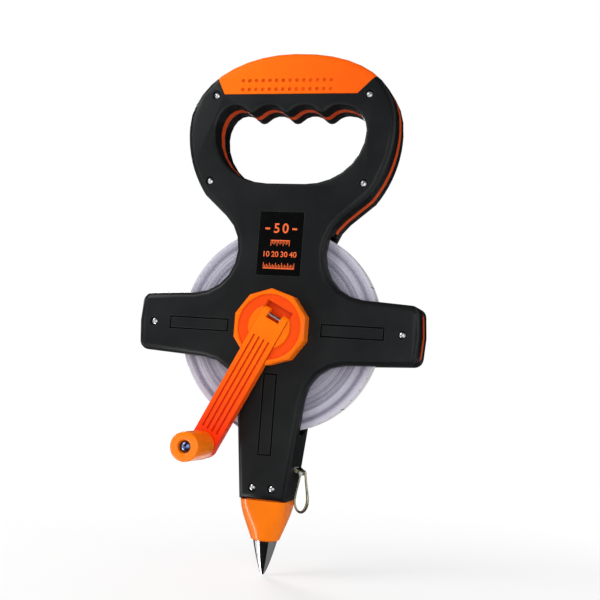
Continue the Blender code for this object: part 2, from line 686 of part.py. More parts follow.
def make_rear_shell():
    rear = shell("rear_shell", 1)
    hole = SCREW_SHANK_RADIUS + GAP
    blind = span(hole, -PAST, SCREW_TIP_Y + GAP)
    sunk = rod("washer_recess", span(WASHER_RADIUS + GAP, WASHER_FLOOR_Y, FACE_Y + PAST), REEL_AXIS,
               segments=28)
    cut(rear, screw_holes("rear_screw_holes", FRAME_SCREWS, blind), sunk)


def make_label():
    block("label_plate", label_outline(), -(FACE_Y - LABEL_THICKNESS), -FACE_Y, "label")


# ================================================================ orange middle layer and grip
def tongue_outline(margin=0.0):
    """The part of the core that fills the grip: a low arch on the grip's seat."""
    half = GRIP_HALF_LENGTH - TONGUE_END + margin
    low = GRIP_SEAT_Z - TONGUE_ROOT
    high = HANDLE_Z + HANDLE_TOP_RISE - TONGUE_COVER + margin
    right = filleted([(0, high, 0), (half * 0.55, high - TONGUE_FALL, HANDLE_BAND),
                      (half, high - TONGUE_SHOULDER, TONGUE_ROUND), (half, low, 0)])
    return mirrored(right + [(0, low)])


def make_core():
    """The orange ring between the shells, from the grip round the handle to the neck."""
    upper = [p for p in frame_outline() if p[1] > AXIS_Z + NECK_ROUND]
    half = CORE_THICKNESS / 2
    core = slab("handle_core", [(upper, -half), (upper, half)], "orange_plastic")
    tongue = slab("core_tongue", [(tongue_outline(), -half), (tongue_outline(), half)])
    join(core, tongue)
    hole = slab("core_opening", [(opening_outline(), -THROUGH), (opening_outline(), THROUGH)])
    bay = rod("core_bay", span(BAY_RADIUS + WALL, -THROUGH, THROUGH), REEL_AXIS, segments=96)
    shank = span(SCREW_SHANK_RADIUS + GAP, -THROUGH, THROUGH)
    screws = screw_holes("core_screw_holes", FRAME_SCREWS[:4], shank)
    cut(core, hole, bay, screws)


def make_grip():
    """The saddle on top of the handle, slotted for the core's tongue."""
    top = HANDLE_Z + HANDLE_TOP_RISE
    crown = both_sides(*(handle_crown(side, top, 10) + [(0, HANDLE_Z)] for side in (1, -1)))
    grip = rounded_slab("grip", crown, FACE_Y, -FACE_Y, EDGE_ROUND, "orange_grip", both=True)
    right, far_right, _, _, far_left, left = inset(saddle_outline(), GAP)
    wide, low = 2 * HANDLE_HALF_WIDTH, AXIS_Z
    around = [(-wide, low), (wide, low), (wide, far_right[1]), far_right, right, left, far_left,
              (-wide, far_left[1])]
    surplus = block("grip_surplus", around, -THROUGH, THROUGH)
    margin = tongue_outline(GAP)
    slot = slab("grip_slot", [(margin, -(CORE_THICKNESS / 2 + GAP)), (margin, CORE_THICKNESS / 2 + GAP)])
    cut(grip, surplus, slot)
    return grip


def make_arm_spacers():
    """The orange blocks between the shells at the ends of the arms."""
    half = CORE_THICKNESS / 2
    start = BAY_RADIUS - WALL
    end = ARM_REACH - ARM_END_STEP
    rise = ARM_TIP_HALF_HEIGHT
    low_rise = rise - ARM_END_STEP
    right = filleted([(start, AXIS_Z + rise, 0), (end, AXIS_Z + low_rise, SPACER_CORNER),
                      (ARM_REACH, AXIS_Z, 0), (end, AXIS_Z - low_rise, SPACER_CORNER),
                      (start, AXIS_Z - rise, 0)])
    for name, sign, place in (("left", -1, FRAME_SCREWS[4]), ("right", 1, FRAME_SCREWS[5])):
        outline = [(sign * x, z) for x, z in right]
        spacer = slab(f"arm_spacer_{name}", [(outline, -half), (outline, half)], "orange_plastic")
        bay = rod(f"spacer_bay_{name}", span(BAY_RADIUS + WALL, -THROUGH, THROUGH), REEL_AXIS, segments=96)
        hole = screw_holes(f"spacer_hole_{name}", [place], span(SCREW_SHANK_RADIUS + GAP, -THROUGH, THROUGH))
        cut(spacer, bay, hole)


# ================================================================ leg: tape guide, nose, spike
def make_tape_guide():
    """The black block in the leg with the tape's slot, and its rim between the shells."""
    half = CORE_THICKNESS / 2
    top = AXIS_Z - GUIDE_TOP_DROP
    outer = [(leg_half_width(top), top), (leg_half_width(LEG_BOTTOM), LEG_BOTTOM)]
    rim_half = [(0, top), *outer, (0, LEG_BOTTOM)]
    rim_outline = mirrored(rim_half)
    guide = slab("tape_guide", [(rim_outline, -half), (rim_outline, half)], "black_plastic")

    foot = GUIDE_FOOT_Z
    inner = WALL + GAP
    hollow = [(-leg_half_width(foot) + inner, foot), (leg_half_width(foot) - inner, foot),
              (leg_half_width(LEG_BOTTOM) - inner, LEG_BOTTOM - PAST),
              (-leg_half_width(LEG_BOTTOM) + inner, LEG_BOTTOM - PAST)]
    cut(guide, block("guide_hollow", hollow, -THROUGH, THROUGH))
    depth = PLATE_INNER_Y - GAP
    plug = [(-leg_half_width(top) + inner, top), (leg_half_width(top) - inner, top),
            (leg_half_width(foot) - inner, foot), (-leg_half_width(foot) + inner, foot)]
    join(guide, block("guide_plug", plug, -depth, depth))
    bay = rod("guide_bay", span(BAY_RADIUS + RUNNING_GAP, -THROUGH, THROUGH), REEL_AXIS, segments=96)
    slot = tail_box("guide_slot", -TAIL_LENGTH, THROUGH / 3, MOUTH_HEIGHT / 2, TAPE_WIDTH / 2 + SLOT_SIDE_GAP)
    cut(guide, bay, slot)


def nose_ring(z, half_width, half_depth, exponent, count=32):
    """A rounded square, from a circle at exponent 2 to a box at higher ones."""
    ring = []
    for k in range(count):
        a = 2 * math.pi * k / count
        c, s = math.cos(a), math.sin(a)
        ring.append((half_width * math.copysign(abs(c) ** (2 / exponent), c),
                     half_depth * math.copysign(abs(s) ** (2 / exponent), s), z))
    return ring


def make_nose():
    """The orange nose: round below, square above, with a tenon that fills the leg's end."""
    bottom = SPIKE_LENGTH + GAP
    rings = []
    for k in range(6):
        share = k / 5
        swell = math.sin(share * math.pi / 2)
        rings.append(nose_ring(bottom + share * (NOSE_TOP - bottom),
                               NOSE_TIP_RADIUS + swell * (LEG_BOTTOM_HALF_WIDTH - NOSE_TIP_RADIUS),
                               NOSE_TIP_RADIUS + swell * (FACE_Y - NOSE_TIP_RADIUS),
                               2 + 3.5 * share ** 2))
    tenon_x = LEG_BOTTOM_HALF_WIDTH - WALL - 2 * GAP
    tenon_y = PLATE_INNER_Y - GAP
    rings += [nose_ring(z, tenon_x, tenon_y, 8) for z in (NOSE_TOP, TENON_TOP)]
    nose = loft("nose_cone", rings, "orange_plastic", 50)
    bore = post("nose_bore", span(SPIKE_SHANK_RADIUS + GAP, 0, TENON_TOP + PAST))
    shank = span(SCREW_SHANK_RADIUS + GAP, -THROUGH, SCREW_TIP_Y + GAP)
    holes = screw_holes("nose_screw_holes", LEG_SCREWS, shank)
    cut(nose, bore, holes)


def make_spike():
    """The pointed foot: a slender ogive on a shank that the nut holds."""
    stations = [(SPIKE_TIP_RADIUS, 0)]
    for k in range(1, 9):
        share = (k / 8) ** 1.5
        radius = SPIKE_TIP_RADIUS + (SPIKE_RADIUS - SPIKE_TIP_RADIUS) * share ** 0.72
        stations.append((radius, share * SPIKE_LENGTH))
    stations += span(SPIKE_SHANK_RADIUS, SPIKE_LENGTH, SHANK_TOP)
    post("ground_spike", stations, "chrome", 28, 30)


def make_nut():
    """The hexagon nut on the spike's shank, above the tenon."""
    nut = post("spike_nut", span(NUT_RADIUS, NUT_Z, NUT_Z + NUT_HEIGHT), "steel", 6, None)
    cut(nut, post("nut_bore", span(SPIKE_SHANK_RADIUS + GAP, NUT_Z - PAST, NUT_Z + NUT_HEIGHT + PAST)))


# ================================================================ screws
def screw_mesh(length):
    """A pan-head screw with a cross recess, its head's underside at y = 0 and its head towards -Y."""
    head, rim = SCREW_HEAD, SCREW_HEAD_RADIUS
    stations = [(rim * 0.62, -head), (rim * 0.9, -head * 0.8), (rim, -head * 0.4), (rim, 0)]
    stations += span(SCREW_SHANK_RADIUS, 0, length - 0.7 * SCREW_SHANK_RADIUS)
    stations.append((0.4 * SCREW_SHANK_RADIUS, length))
    body = rod("screw_body", stations, (0, 0), "steel", 12)
    arm, width, depth = rim * 0.55, rim * 0.16, head * 0.6
    quarter = [(width, width), (arm, width), (arm, -width)]
    quarter_turns = ((1, 0), (0, -1), (-1, 0), (0, 1))
    cross = [(x * c - z * q, x * q + z * c) for c, q in quarter_turns for x, z in quarter]
    recess = block("screw_cross", cross, -head - PAST, -head + depth)
    cut(body, recess)
    bpy.context.view_layer.update()
    mesh = bpy.data.meshes.new_from_object(body.evaluated_get(bpy.context.evaluated_depsgraph_get()))
    for thing in (body, recess):
        bpy.data.objects.remove(thing)
    return mesh


def make_screws():
    """Eight alike: six hold the shells together, two hold the nose in the leg."""
    under_head = -(FACE_Y - SCREW_RECESS + GAP)
    mesh = screw_mesh(SCREW_TIP_Y - under_head)
    for i, (x, z) in enumerate(FRAME_SCREWS + LEG_SCREWS, start=1):
        screw = bpy.data.objects.new(f"frame_screw_{i}", mesh)
        screw.location = (x, under_head, z)
        bpy.context.scene.collection.objects.link(screw)


# ================================================================ reel
def make_bushes():
    """Plain bearings in the two shells, each with a flange inside the reel bay."""
    seat = BAY_HALF_WIDTH - GAP
    flange_radius = BUSH_RADIUS + WALL
    for name, side, end in (("front_bush", -1, FACE_Y - GAP), ("rear_bush", 1, WASHER_FLOOR_Y)):
        profile = [(BUSH_BORE, THRUST_Y), (flange_radius, THRUST_Y), (flange_radius, seat),
                   (BUSH_RADIUS, seat), (BUSH_RADIUS, end), (BUSH_BORE, end)]
        turned(name, [(r, side * y) for r, y in profile], REEL_AXIS, "bronze", 24)


def make_axle():
    """A six-sided bar with round journals; its front end drives the crank hub."""
    journal = AXLE_JOURNAL_RADIUS
    inner = THRUST_Y - GAP
    axle = rod("axle", span(journal, HUB_BACK_Y + GAP, AXLE_END_Y), REEL_AXIS, "steel", 24)
    middle = rod("axle_hexagon", span(AXLE_HEX_RADIUS, -inner, inner), REEL_AXIS, segments=6, smooth=None)
    drive = rod("axle_drive", span(DRIVE_RADIUS, DRIVE_END_Y, HUB_BACK_Y + 2 * PAST), REEL_AXIS,
                segments=6, smooth=None)
    thread = rod("axle_thread", span(HUB_SCREW_RADIUS + GAP, -2 * THROUGH, HUB_SCREW_TIP_Y + GAP), REEL_AXIS,
                 segments=16)
    join(axle, middle, drive)
    cut(axle, thread)


def make_drum():
    """The drum: boss, web and rim, on the hexagon of the axle."""
    half = TAPE_WIDTH / 2 + GAP
    web = DRUM_WEB / 2
    boss = THRUST_Y - GAP
    inner_rim = DRUM_RADIUS - DRUM_RIM
    front = [(DRUM_BOSS_RADIUS, boss), (DRUM_BOSS_RADIUS, web), (inner_rim, web), (inner_rim, half),
             (DRUM_RADIUS, half)]
    stations = [(r, -y) for r, y in front] + front[::-1]
    drum = rod("drum", stations, REEL_AXIS, "black_plastic", 36)
    hexagon = AXLE_HEX_RADIUS + GAP / math.cos(math.pi / 6)
    cut(drum, rod("drum_socket", span(hexagon, -THROUGH, THROUGH), REEL_AXIS, segments=6, smooth=None))


def winding_radius(turns):
    """Middle of the ribbon after so many turns of the outer winding, counted from its outer end."""
    return TAPE_PACK_RADIUS - TAPE_THICKNESS / 2 - turns * TURN_PITCH


def make_tape():
    """The wound tape: a plain core of inner turns under a spiral of outer ones."""
    half = TAPE_WIDTH / 2
    start = math.atan2(TAIL_START[1] - AXIS_Z, TAIL_START[0])
    rings, middles = [], []
    for k in range(OUTER_TURNS * POINTS_PER_TURN + 1):
        turns = k / POINTS_PER_TURN
        a = start - 2 * math.pi * turns
        r = winding_radius(turns)
        middles.append((r * math.cos(a), r * math.sin(a)))
        rings.append([((r + h) * math.cos(a), y, AXIS_Z + (r + h) * math.sin(a))
                      for h, y in ((-TAPE_THICKNESS / 2, -half), (TAPE_THICKNESS / 2, -half),
                                   (TAPE_THICKNESS / 2, half), (-TAPE_THICKNESS / 2, half))])
    loft("tape_winding", rings, "tape")
    facet = math.cos(math.pi / POINTS_PER_TURN)
    inner = (winding_radius(OUTER_TURNS) - TAPE_THICKNESS / 2) * facet - GAP
    profile = [(DRUM_RADIUS + GAP, -half), (inner, -half), (inner, half), (DRUM_RADIUS + GAP, half)]
    turned("tape_core", profile, REEL_AXIS, "tape", 72, 60)
    print("least gap of the tape winding to itself: %.2f mm" % (least_gap(middles) * 1000))


def least_gap(middles):
    """Clear distance between neighbouring turns, from each point to the facets one turn inwards."""
    least = 1.0
    for k in range(len(middles) - POINTS_PER_TURN):
        p = np.array(middles[k])
        for j in range(k + POINTS_PER_TURN - 2, min(k + POINTS_PER_TURN + 2, len(middles) - 1)):
            a, b = np.array(middles[j]), np.array(middles[j + 1])
            share = np.clip((p - a) @ (b - a) / ((b - a) @ (b - a)), 0, 1)
            least = min(least, np.linalg.norm(p - a - share * (b - a)) - TAPE_THICKNESS)
    return least


def make_tail():
    """The free end of the tape, from the pack through the leg to the clip."""
    tail_box("tape_tail", -TAIL_LENGTH, CLIP_END - CLIP_FOLD, TAPE_THICKNESS / 2, TAPE_WIDTH / 2, "tape")


# ================================================================ end clip and hook
def make_end_clip():
    """The folded metal clip on the end of the tape, with two ears for the hook's pin."""
    clip = tail_box("end_clip", CLIP_START, CLIP_END, CLIP_THICKNESS / 2, TAPE_WIDTH / 2 + WALL / 4, "nickel")
    slot = tail_box("clip_slot", CLIP_START - PAST, CLIP_END - CLIP_FOLD + GAP, TAPE_THICKNESS / 2 + GAP,
                    TAPE_WIDTH / 2 + GAP)
    ear = rod("clip_ear", span(EAR_RADIUS, -EAR_HALF_SPAN, EAR_HALF_SPAN), HOOK_PIVOT, segments=16)
    bridge = tail_box("clip_bridge", CLIP_END - CLIP_FOLD / 2, CLIP_END + EYE_RADIUS, EAR_RADIUS * 0.7,
                      EAR_HALF_SPAN)
    clear = EYE_RADIUS + HOOK_WIRE_RADIUS + 2 * GAP
    half_gap = HOOK_WIRE_RADIUS + 2 * GAP
    notch = rod("clip_notch", span(clear, -half_gap, half_gap), HOOK_PIVOT, segments=24)
    bore = rod("clip_bore", span(HOOK_PIN_RADIUS + GAP, -THROUGH, THROUGH), HOOK_PIVOT, segments=16)
    join(clip, bridge, ear)
    cut(clip, slot, notch, bore)


def make_hook_pin():
    """A small headed pin through the ears and the hook's eye."""
    seat = -EAR_HALF_SPAN - GAP
    head = HOOK_PIN_RADIUS * 1.6
    stations = span(head, seat - HOOK_PIN_RADIUS, seat) + span(HOOK_PIN_RADIUS, seat, EAR_HALF_SPAN + GAP)
    rod("hook_pin", stations, HOOK_PIVOT, "steel", 16)


def hook_path():
    """The hook's wire: a small round eye over the pin, straight legs and a round lower end."""
    x, z = HOOK_PIVOT
    belly_z = z - HOOK_LENGTH + HOOK_BELLY
    eye = arc((x, z), (EYE_RADIUS, EYE_RADIUS), 180, 0, 8)
    belly = arc((x, belly_z), (HOOK_HALF_WIDTH, HOOK_BELLY), 0, -180, 12)
    top, low = np.array(eye[-1]), np.array(belly[0])
    right = [tuple(top + share * (low - top)) for share in (1 / 3, 2 / 3)]
    left = [(2 * x - px, pz) for px, pz in reversed(right)]
    return eye + right + belly + left


def make_hook():
    """The wire hook: a round wire carried along its path, closed on itself."""
    path = np.array(hook_path())
    along = np.roll(path, -1, axis=0) - np.roll(path, 1, axis=0)
    along /= np.linalg.norm(along, axis=1)[:, None]
    side = np.stack((along[:, 1], -along[:, 0]), axis=1)
    rings = []
    for p, n in zip(path, side):
        rings.append([(p[0] + HOOK_WIRE_RADIUS * math.cos(a) * n[0], HOOK_WIRE_RADIUS * math.sin(a),
                       p[1] + HOOK_WIRE_RADIUS * math.cos(a) * n[1])
                      for a in (2 * math.pi * k / 8 for k in range(8))])
    loft("tape_hook", rings, "nickel", 60, closed=True)


# ================================================================ crank
def make_crank_hub():
    """The ten-sided hub with its rim, the channel of the arm and the pocket of the hinge."""
    stations = span(HUB_RADIUS, HUB_BACK_Y, HUB_FRONT_Y + HUB_CHAMFER)
    stations.append((HUB_RADIUS - HUB_CHAMFER, HUB_FRONT_Y))
    hub = rod("crank_hub", stations, REEL_AXIS, "orange_plastic", HUB_SIDES, None, math.pi / HUB_SIDES)
    outer = HUB_RADIUS - HUB_RIM
    floor = HUB_FRONT_Y + HUB_RECESS
    above = HUB_FRONT_Y - PAST
    recess = turned("hub_recess", [(HUB_ISLAND_RADIUS, floor), (outer, floor), (outer + PAST, above),
                                   (HUB_ISLAND_RADIUS - PAST, above)], REEL_AXIS, segments=40)
    half = CRANK_ROOT_WIDTH / 2 + GAP
    knuckle_end = -HINGE_OFFSET - KNUCKLE_RADIUS
    channel = block("hub_channel", crank_outline(rectangle(knuckle_end, 1.4 * HUB_RADIUS, -half, half)),
                    HUB_FLOOR_Y, above)
    pocket = block("hub_pocket", crank_outline(rectangle(-POCKET_REACH, -HINGE_OFFSET, -half, half)),
                   HUB_FLOOR_Y, above)
    drive = DRIVE_RADIUS + GAP / math.cos(math.pi / 6)
    socket = rod("hub_socket", span(drive, DRIVE_END_Y - GAP, HUB_BACK_Y + PAST), REEL_AXIS,
                 segments=6, smooth=None)
    head = HUB_SCREW_HEAD_RADIUS + GAP
    shank = HUB_SCREW_RADIUS + GAP
    seat = HUB_FLOOR_Y + HUB_SCREW_HEAD + GAP
    screw = rod("hub_screw_hole", span(head, HUB_FLOOR_Y - PAST, seat) + span(shank, seat, 0), REEL_AXIS,
                segments=16)
    pin = hinge_rod("hub_pin_hole", HINGE_PIN_RADIUS + GAP, half + HINGE_BITE + GAP)
    cut(hub, recess, channel, pocket, socket, screw, pin)


def hinge_rod(name, radius, half_length, material=None, segments=12):
    """A rod along the hinge of the crank, across the arm."""
    x, z = on_crank(-HINGE_OFFSET, 0)
    rings = []
    for t in (-half_length, half_length):
        ring = []
        for k in range(segments):
            a = 2 * math.pi * k / segments
            along = radius * math.cos(a)
            ring.append((x + t * CRANK_ACROSS[0] + along * CRANK_ALONG[0], HINGE_Y + radius * math.sin(a),
                         z + t * CRANK_ACROSS[1] + along * CRANK_ALONG[1]))
        rings.append(ring)
    return loft(name, rings, material, 40)


def make_hinge_pin():
    hinge_rod("crank_hinge_pin", HINGE_PIN_RADIUS, CRANK_ROOT_WIDTH / 2 + GAP + HINGE_BITE, "steel")


def make_hub_screw():
    """The sunk screw that holds the hub on the axle, under the arm."""
    top = HUB_FLOOR_Y + GAP / 2
    seat = HUB_FLOOR_Y + HUB_SCREW_HEAD
    stations = [(HUB_SCREW_HEAD_RADIUS * 0.85, top)] + span(HUB_SCREW_HEAD_RADIUS, top + GAP, seat)
    rod("hub_screw", stations + span(HUB_SCREW_RADIUS, seat, HUB_SCREW_TIP_Y), REEL_AXIS, "steel", 16)


def crank_profile(across):
    """The arm's section at the share across of its half width, as (s, y): a knuckle and a bar to the knob."""
    knuckle = [(-HINGE_OFFSET + KNUCKLE_RADIUS * math.cos(a), HINGE_Y - KNUCKLE_RADIUS * math.sin(a))
               for a in (math.radians(d) for d in range(90, 271, 20))]
    tip = CRANK_RADIUS + CRANK_TIP_REACH * math.sqrt(1 - (CRANK_TIP_FULLNESS * across) ** 2)
    return knuckle + [(tip - CRANK_EDGE, CRANK_BACK_Y), (tip, CRANK_BACK_Y - CRANK_EDGE),
                      (tip, CRANK_FRONT_Y + CRANK_EDGE), (tip - CRANK_EDGE, CRANK_FRONT_Y)]


def crank_half_width(s):
    """The arm narrows evenly from its hinge to its knob."""
    share = (s + HINGE_OFFSET) / (CRANK_RADIUS + HINGE_OFFSET)
    return (CRANK_ROOT_WIDTH + share * (CRANK_TIP_WIDTH - CRANK_ROOT_WIDTH)) / 2


def crank_grooves():
    """Long grooves between the ribs of the arm, drawn together as the arm narrows."""
    start = 0.35 * HUB_RADIUS
    end = CRANK_RADIUS - KNOB_RADIUS - 2 * RUNNING_GAP
    grooves = []
    for k in range(CRANK_RIBS):
        share = 2 * (k + 1) / (CRANK_RIBS + 1) - 1
        first, last = share * crank_half_width(start), share * crank_half_width(end)
        half = RIB_GROOVE / 2
        corners = [(start, first - half), (end, last - half), (end, last + half), (start, first + half)]
        grooves.append(block(f"groove_{k}", crank_outline(corners), CRANK_FRONT_Y + RIB_DEPTH,
                             CRANK_FRONT_Y - PAST))
    return joined("crank_grooves", grooves)


def make_crank_arm():
    """The folding arm, ribbed along its face, forked at the hinge so that the pin shows."""
    rings = []
    for t in (-1, -0.92, -0.75, -0.45, 0, 0.45, 0.75, 0.92, 1):
        places = [(*on_crank(s, t * crank_half_width(s)), y) for s, y in crank_profile(t)]
        rings.append([(x, y, z) for x, z, y in places])
    arm = loft("crank_arm", rings, "orange_plastic")
    half = HINGE_WINDOW / 2
    reach = KNUCKLE_RADIUS - HINGE_PIN_RADIUS
    fork = rectangle(-HINGE_OFFSET - KNUCKLE_RADIUS - PAST, -HINGE_OFFSET + reach, -half, half)
    window = block("crank_window", crank_outline(fork), CRANK_BACK_Y + PAST, CRANK_FRONT_Y - PAST)
    pin = hinge_rod("crank_pin_hole", HINGE_PIN_RADIUS + GAP, CRANK_ROOT_WIDTH)
    bore = rod("crank_knob_bore", span(KNOB_PIN_RADIUS + GAP, KNOB_BACK_Y - PAST, KNOB_PIN_END_Y + GAP),
               KNOB_CENTRE, segments=16)
    cut(arm, crank_grooves(), window, pin, bore)


def make_knob():
    """The turning knob on the end of the crank, with a recess for its pin's head."""
    recess = KNOB_FRONT_Y + KNOB_RECESS
    edge = KNOB_EDGE
    profile = [(KNOB_BORE, KNOB_BACK_Y), (KNOB_RADIUS - edge, KNOB_BACK_Y), (KNOB_RADIUS, KNOB_BACK_Y - edge),
               (KNOB_RADIUS, KNOB_FRONT_Y + edge), (KNOB_RADIUS - 0.3 * edge, KNOB_FRONT_Y + 0.3 * edge),
               (KNOB_RADIUS - edge, KNOB_FRONT_Y), (KNOB_RECESS_RADIUS, KNOB_FRONT_Y),
               (KNOB_RECESS_RADIUS, recess), (KNOB_BORE, recess)]
    turned("crank_knob", profile, KNOB_CENTRE, "orange_plastic", 28)


def make_knob_pin():
    """The headed pin that the knob turns on, fast in the arm."""
    seat = KNOB_FRONT_Y + KNOB_RECESS - GAP
    head = KNOB_RECESS_RADIUS - KNOB_HEAD_GAP
    rise = KNOB_HEAD
    stations = [(head * 0.55, seat - rise), (head * 0.9, seat - 0.7 * rise)]
    stations += span(head, seat - 0.3 * rise, seat) + span(KNOB_PIN_RADIUS, seat, KNOB_PIN_END_Y)
    rod("knob_pin", stations, KNOB_CENTRE, "steel", 16)


def make_rear_retainer():
    """What keeps the axle in at the rear: a washer and a round cap on its end."""
    inner = AXLE_JOURNAL_RADIUS + GAP
    outer_face = WASHER_Y + WASHER_THICKNESS
    washer = [(inner, WASHER_Y), (WASHER_RADIUS, WASHER_Y), (WASHER_RADIUS, outer_face), (inner, outer_face)]
    turned("axle_washer", washer, REEL_AXIS, "steel", 28)
    radius = 0.92 * WASHER_RADIUS
    stations = span(radius, CAP_Y, CAP_Y + 0.7 * CAP_HEIGHT) + [(0.87 * radius, CAP_Y + CAP_HEIGHT)]
    cap = rod("axle_cap", stations, REEL_AXIS, "black_plastic", 28)
    cut(cap, rod("cap_socket", span(inner, 0, AXLE_END_Y + GAP), REEL_AXIS))


# ================================================================ build
def joint_empty(name, place, parent=None):
    """An empty on a joint's axis; what the joint moves is parented to it."""
    empty = bpy.data.objects.new(name, None)
    bpy.context.scene.collection.objects.link(empty)
    empty.empty_display_size = THROUGH / 3
    empty.location = place
    empty["place"] = place
    if parent:
        carry(parent, empty)
    return empty


def carry(empty, piece):
    """Parent the piece to the empty and leave it where it is."""
    piece.parent = empty
    piece.matrix_parent_inverse = Matrix.Translation(empty["place"]).inverted()


def clear_scene():
    for thing in list(bpy.data.objects):
        bpy.data.objects.remove(thing)


clear_scene()
MATERIALS = {name: principled(name, *values) for name, values in FINISHES.items()}

make_front_shell()
make_rear_shell()
make_label()
make_core()
make_grip()
make_arm_spacers()
make_tape_guide()
make_nose()
make_spike()
make_nut()
make_screws()
make_bushes()
make_axle()
make_drum()
make_tape()
make_tail()
make_end_clip()
make_hook_pin()
make_hook()
make_crank_hub()
make_hinge_pin()
make_hub_screw()
make_crank_arm()
make_knob()
make_knob_pin()
make_rear_retainer()

REEL = joint_empty("reel_joint", (0, 0, AXIS_Z))
for node in ("axle", "drum", "tape_core", "tape_winding", "crank_hub", "crank_hinge_pin", "hub_screw",
             "axle_washer", "axle_cap"):
    carry(REEL, bpy.data.objects[node])
CRANK = joint_empty("crank_joint", HINGE_PLACE, REEL)
for node in ("crank_arm", "knob_pin"):
    carry(CRANK, bpy.data.objects[node])
KNOB = joint_empty("knob_joint", (KNOB_CENTRE[0], KNOB_BACK_Y, KNOB_CENTRE[1]), CRANK)
carry(KNOB, bpy.data.objects["crank_knob"])
HOOK = joint_empty("hook_joint", (HOOK_PIVOT[0], 0, HOOK_PIVOT[1]))
carry(HOOK, bpy.data.objects["tape_hook"])
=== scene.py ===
"""Looks of an open-frame tape reel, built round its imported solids. Run it as a script in Blender 4.5.

All lengths are metres in the frame of the solids: the tip of the spike is the origin, +Z runs up through the
handle, and +Y points away from the crank. Angles in the code are radians unless a name says degrees.
"""

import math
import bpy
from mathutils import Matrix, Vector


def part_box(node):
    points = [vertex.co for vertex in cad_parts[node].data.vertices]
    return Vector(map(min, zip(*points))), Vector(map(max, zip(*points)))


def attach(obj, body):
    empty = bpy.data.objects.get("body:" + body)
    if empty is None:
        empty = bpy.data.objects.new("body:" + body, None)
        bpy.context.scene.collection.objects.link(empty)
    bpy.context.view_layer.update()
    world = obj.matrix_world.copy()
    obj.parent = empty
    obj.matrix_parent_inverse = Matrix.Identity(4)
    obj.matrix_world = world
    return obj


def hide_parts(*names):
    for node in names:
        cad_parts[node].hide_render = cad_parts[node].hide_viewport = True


bl_info = {
    "name": "Tape Reel Looks",
    "version": (1, 0, 0),
    "blender": (4, 5, 0),
    "location": "View3D > Sidebar > Tape Reel",
    "description": "Surfaces, finishes and studio of an open-frame tape reel",
    "category": "Object",
}

import bpy
import numpy as np
from bpy.props import FloatProperty, FloatVectorProperty, IntProperty, PointerProperty
from mathutils import Matrix, Vector

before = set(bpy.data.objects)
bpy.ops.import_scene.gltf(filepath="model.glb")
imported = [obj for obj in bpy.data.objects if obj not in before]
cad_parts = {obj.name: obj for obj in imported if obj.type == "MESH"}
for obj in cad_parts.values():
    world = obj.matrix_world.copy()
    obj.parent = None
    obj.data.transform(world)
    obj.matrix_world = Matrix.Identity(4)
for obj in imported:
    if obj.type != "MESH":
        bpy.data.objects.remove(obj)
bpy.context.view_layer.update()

# -------- places, as the solids have them
AXIS = (0.0, 0.1842)            # reel axis, x and z
FACE_Y = 0.0180                 # front and rear face of the frame
ENGRAVED_DEPTH = 0.0008         # the floors of the engraved lines lie less deep than this
ARM_PANEL = (0.034, 0.086, 0.0056)   # engraved lines of an arm, from the axis: start, end, half height
LEG_PANEL = (0.033, 0.097, 0.0060)   # and of the leg
HUB_SUNK_Y = -0.0301            # the hub's sunk floors lie behind this level, and its face before it
DRUM_RADIUS = 0.0300
PACK_RADIUS = 0.0780
TAPE_WIDTH = 0.0130
TAIL_THICKNESS = 0.00045
TAIL_START = (-0.04009, 0.11668)   # the free tape leaves the pack
MOUTH = (0.02050, 0.08070)         # and the leg
TAIL_PAST = 0.0026              # length of tape outside the mouth
KNOB_PLACE = (-0.045066, 0.093812)
HOOK_PIVOT = (0.025834, 0.077534)
LABEL_CENTRE = (0.0, 0.2477)
DIMPLE_LEVELS = (0.3668, 0.3737)   # heights of the rows of dimples in the grip
DIMPLE_SHIFT = -0.0045             # of the rows' middle, along x
HAIR = 0.00004                  # thickness of a print, and how far it stands off


# ======== colours and sizes
def colour(name, code, description):
    """A colour from its sRGB hex code, kept as linear red, green and blue.

    A channel c from 0 to 1 is c / 12.92 up to 0.04045, and ((c + 0.055) / 1.055) to the power 2.4 above it.
    """
    channels = [int(code[i:i + 2], 16) / 255 for i in (1, 3, 5)]
    linear = [c / 12.92 if c <= 0.04045 else ((c + 0.055) / 1.055) ** 2.4 for c in channels]
    return FloatVectorProperty(name=name, description=description, subtype="COLOR", min=0.0, max=1.0,
                               default=linear)


def length(name, value, description):
    return FloatProperty(name=name, description=description, unit="LENGTH", precision=5, default=value)


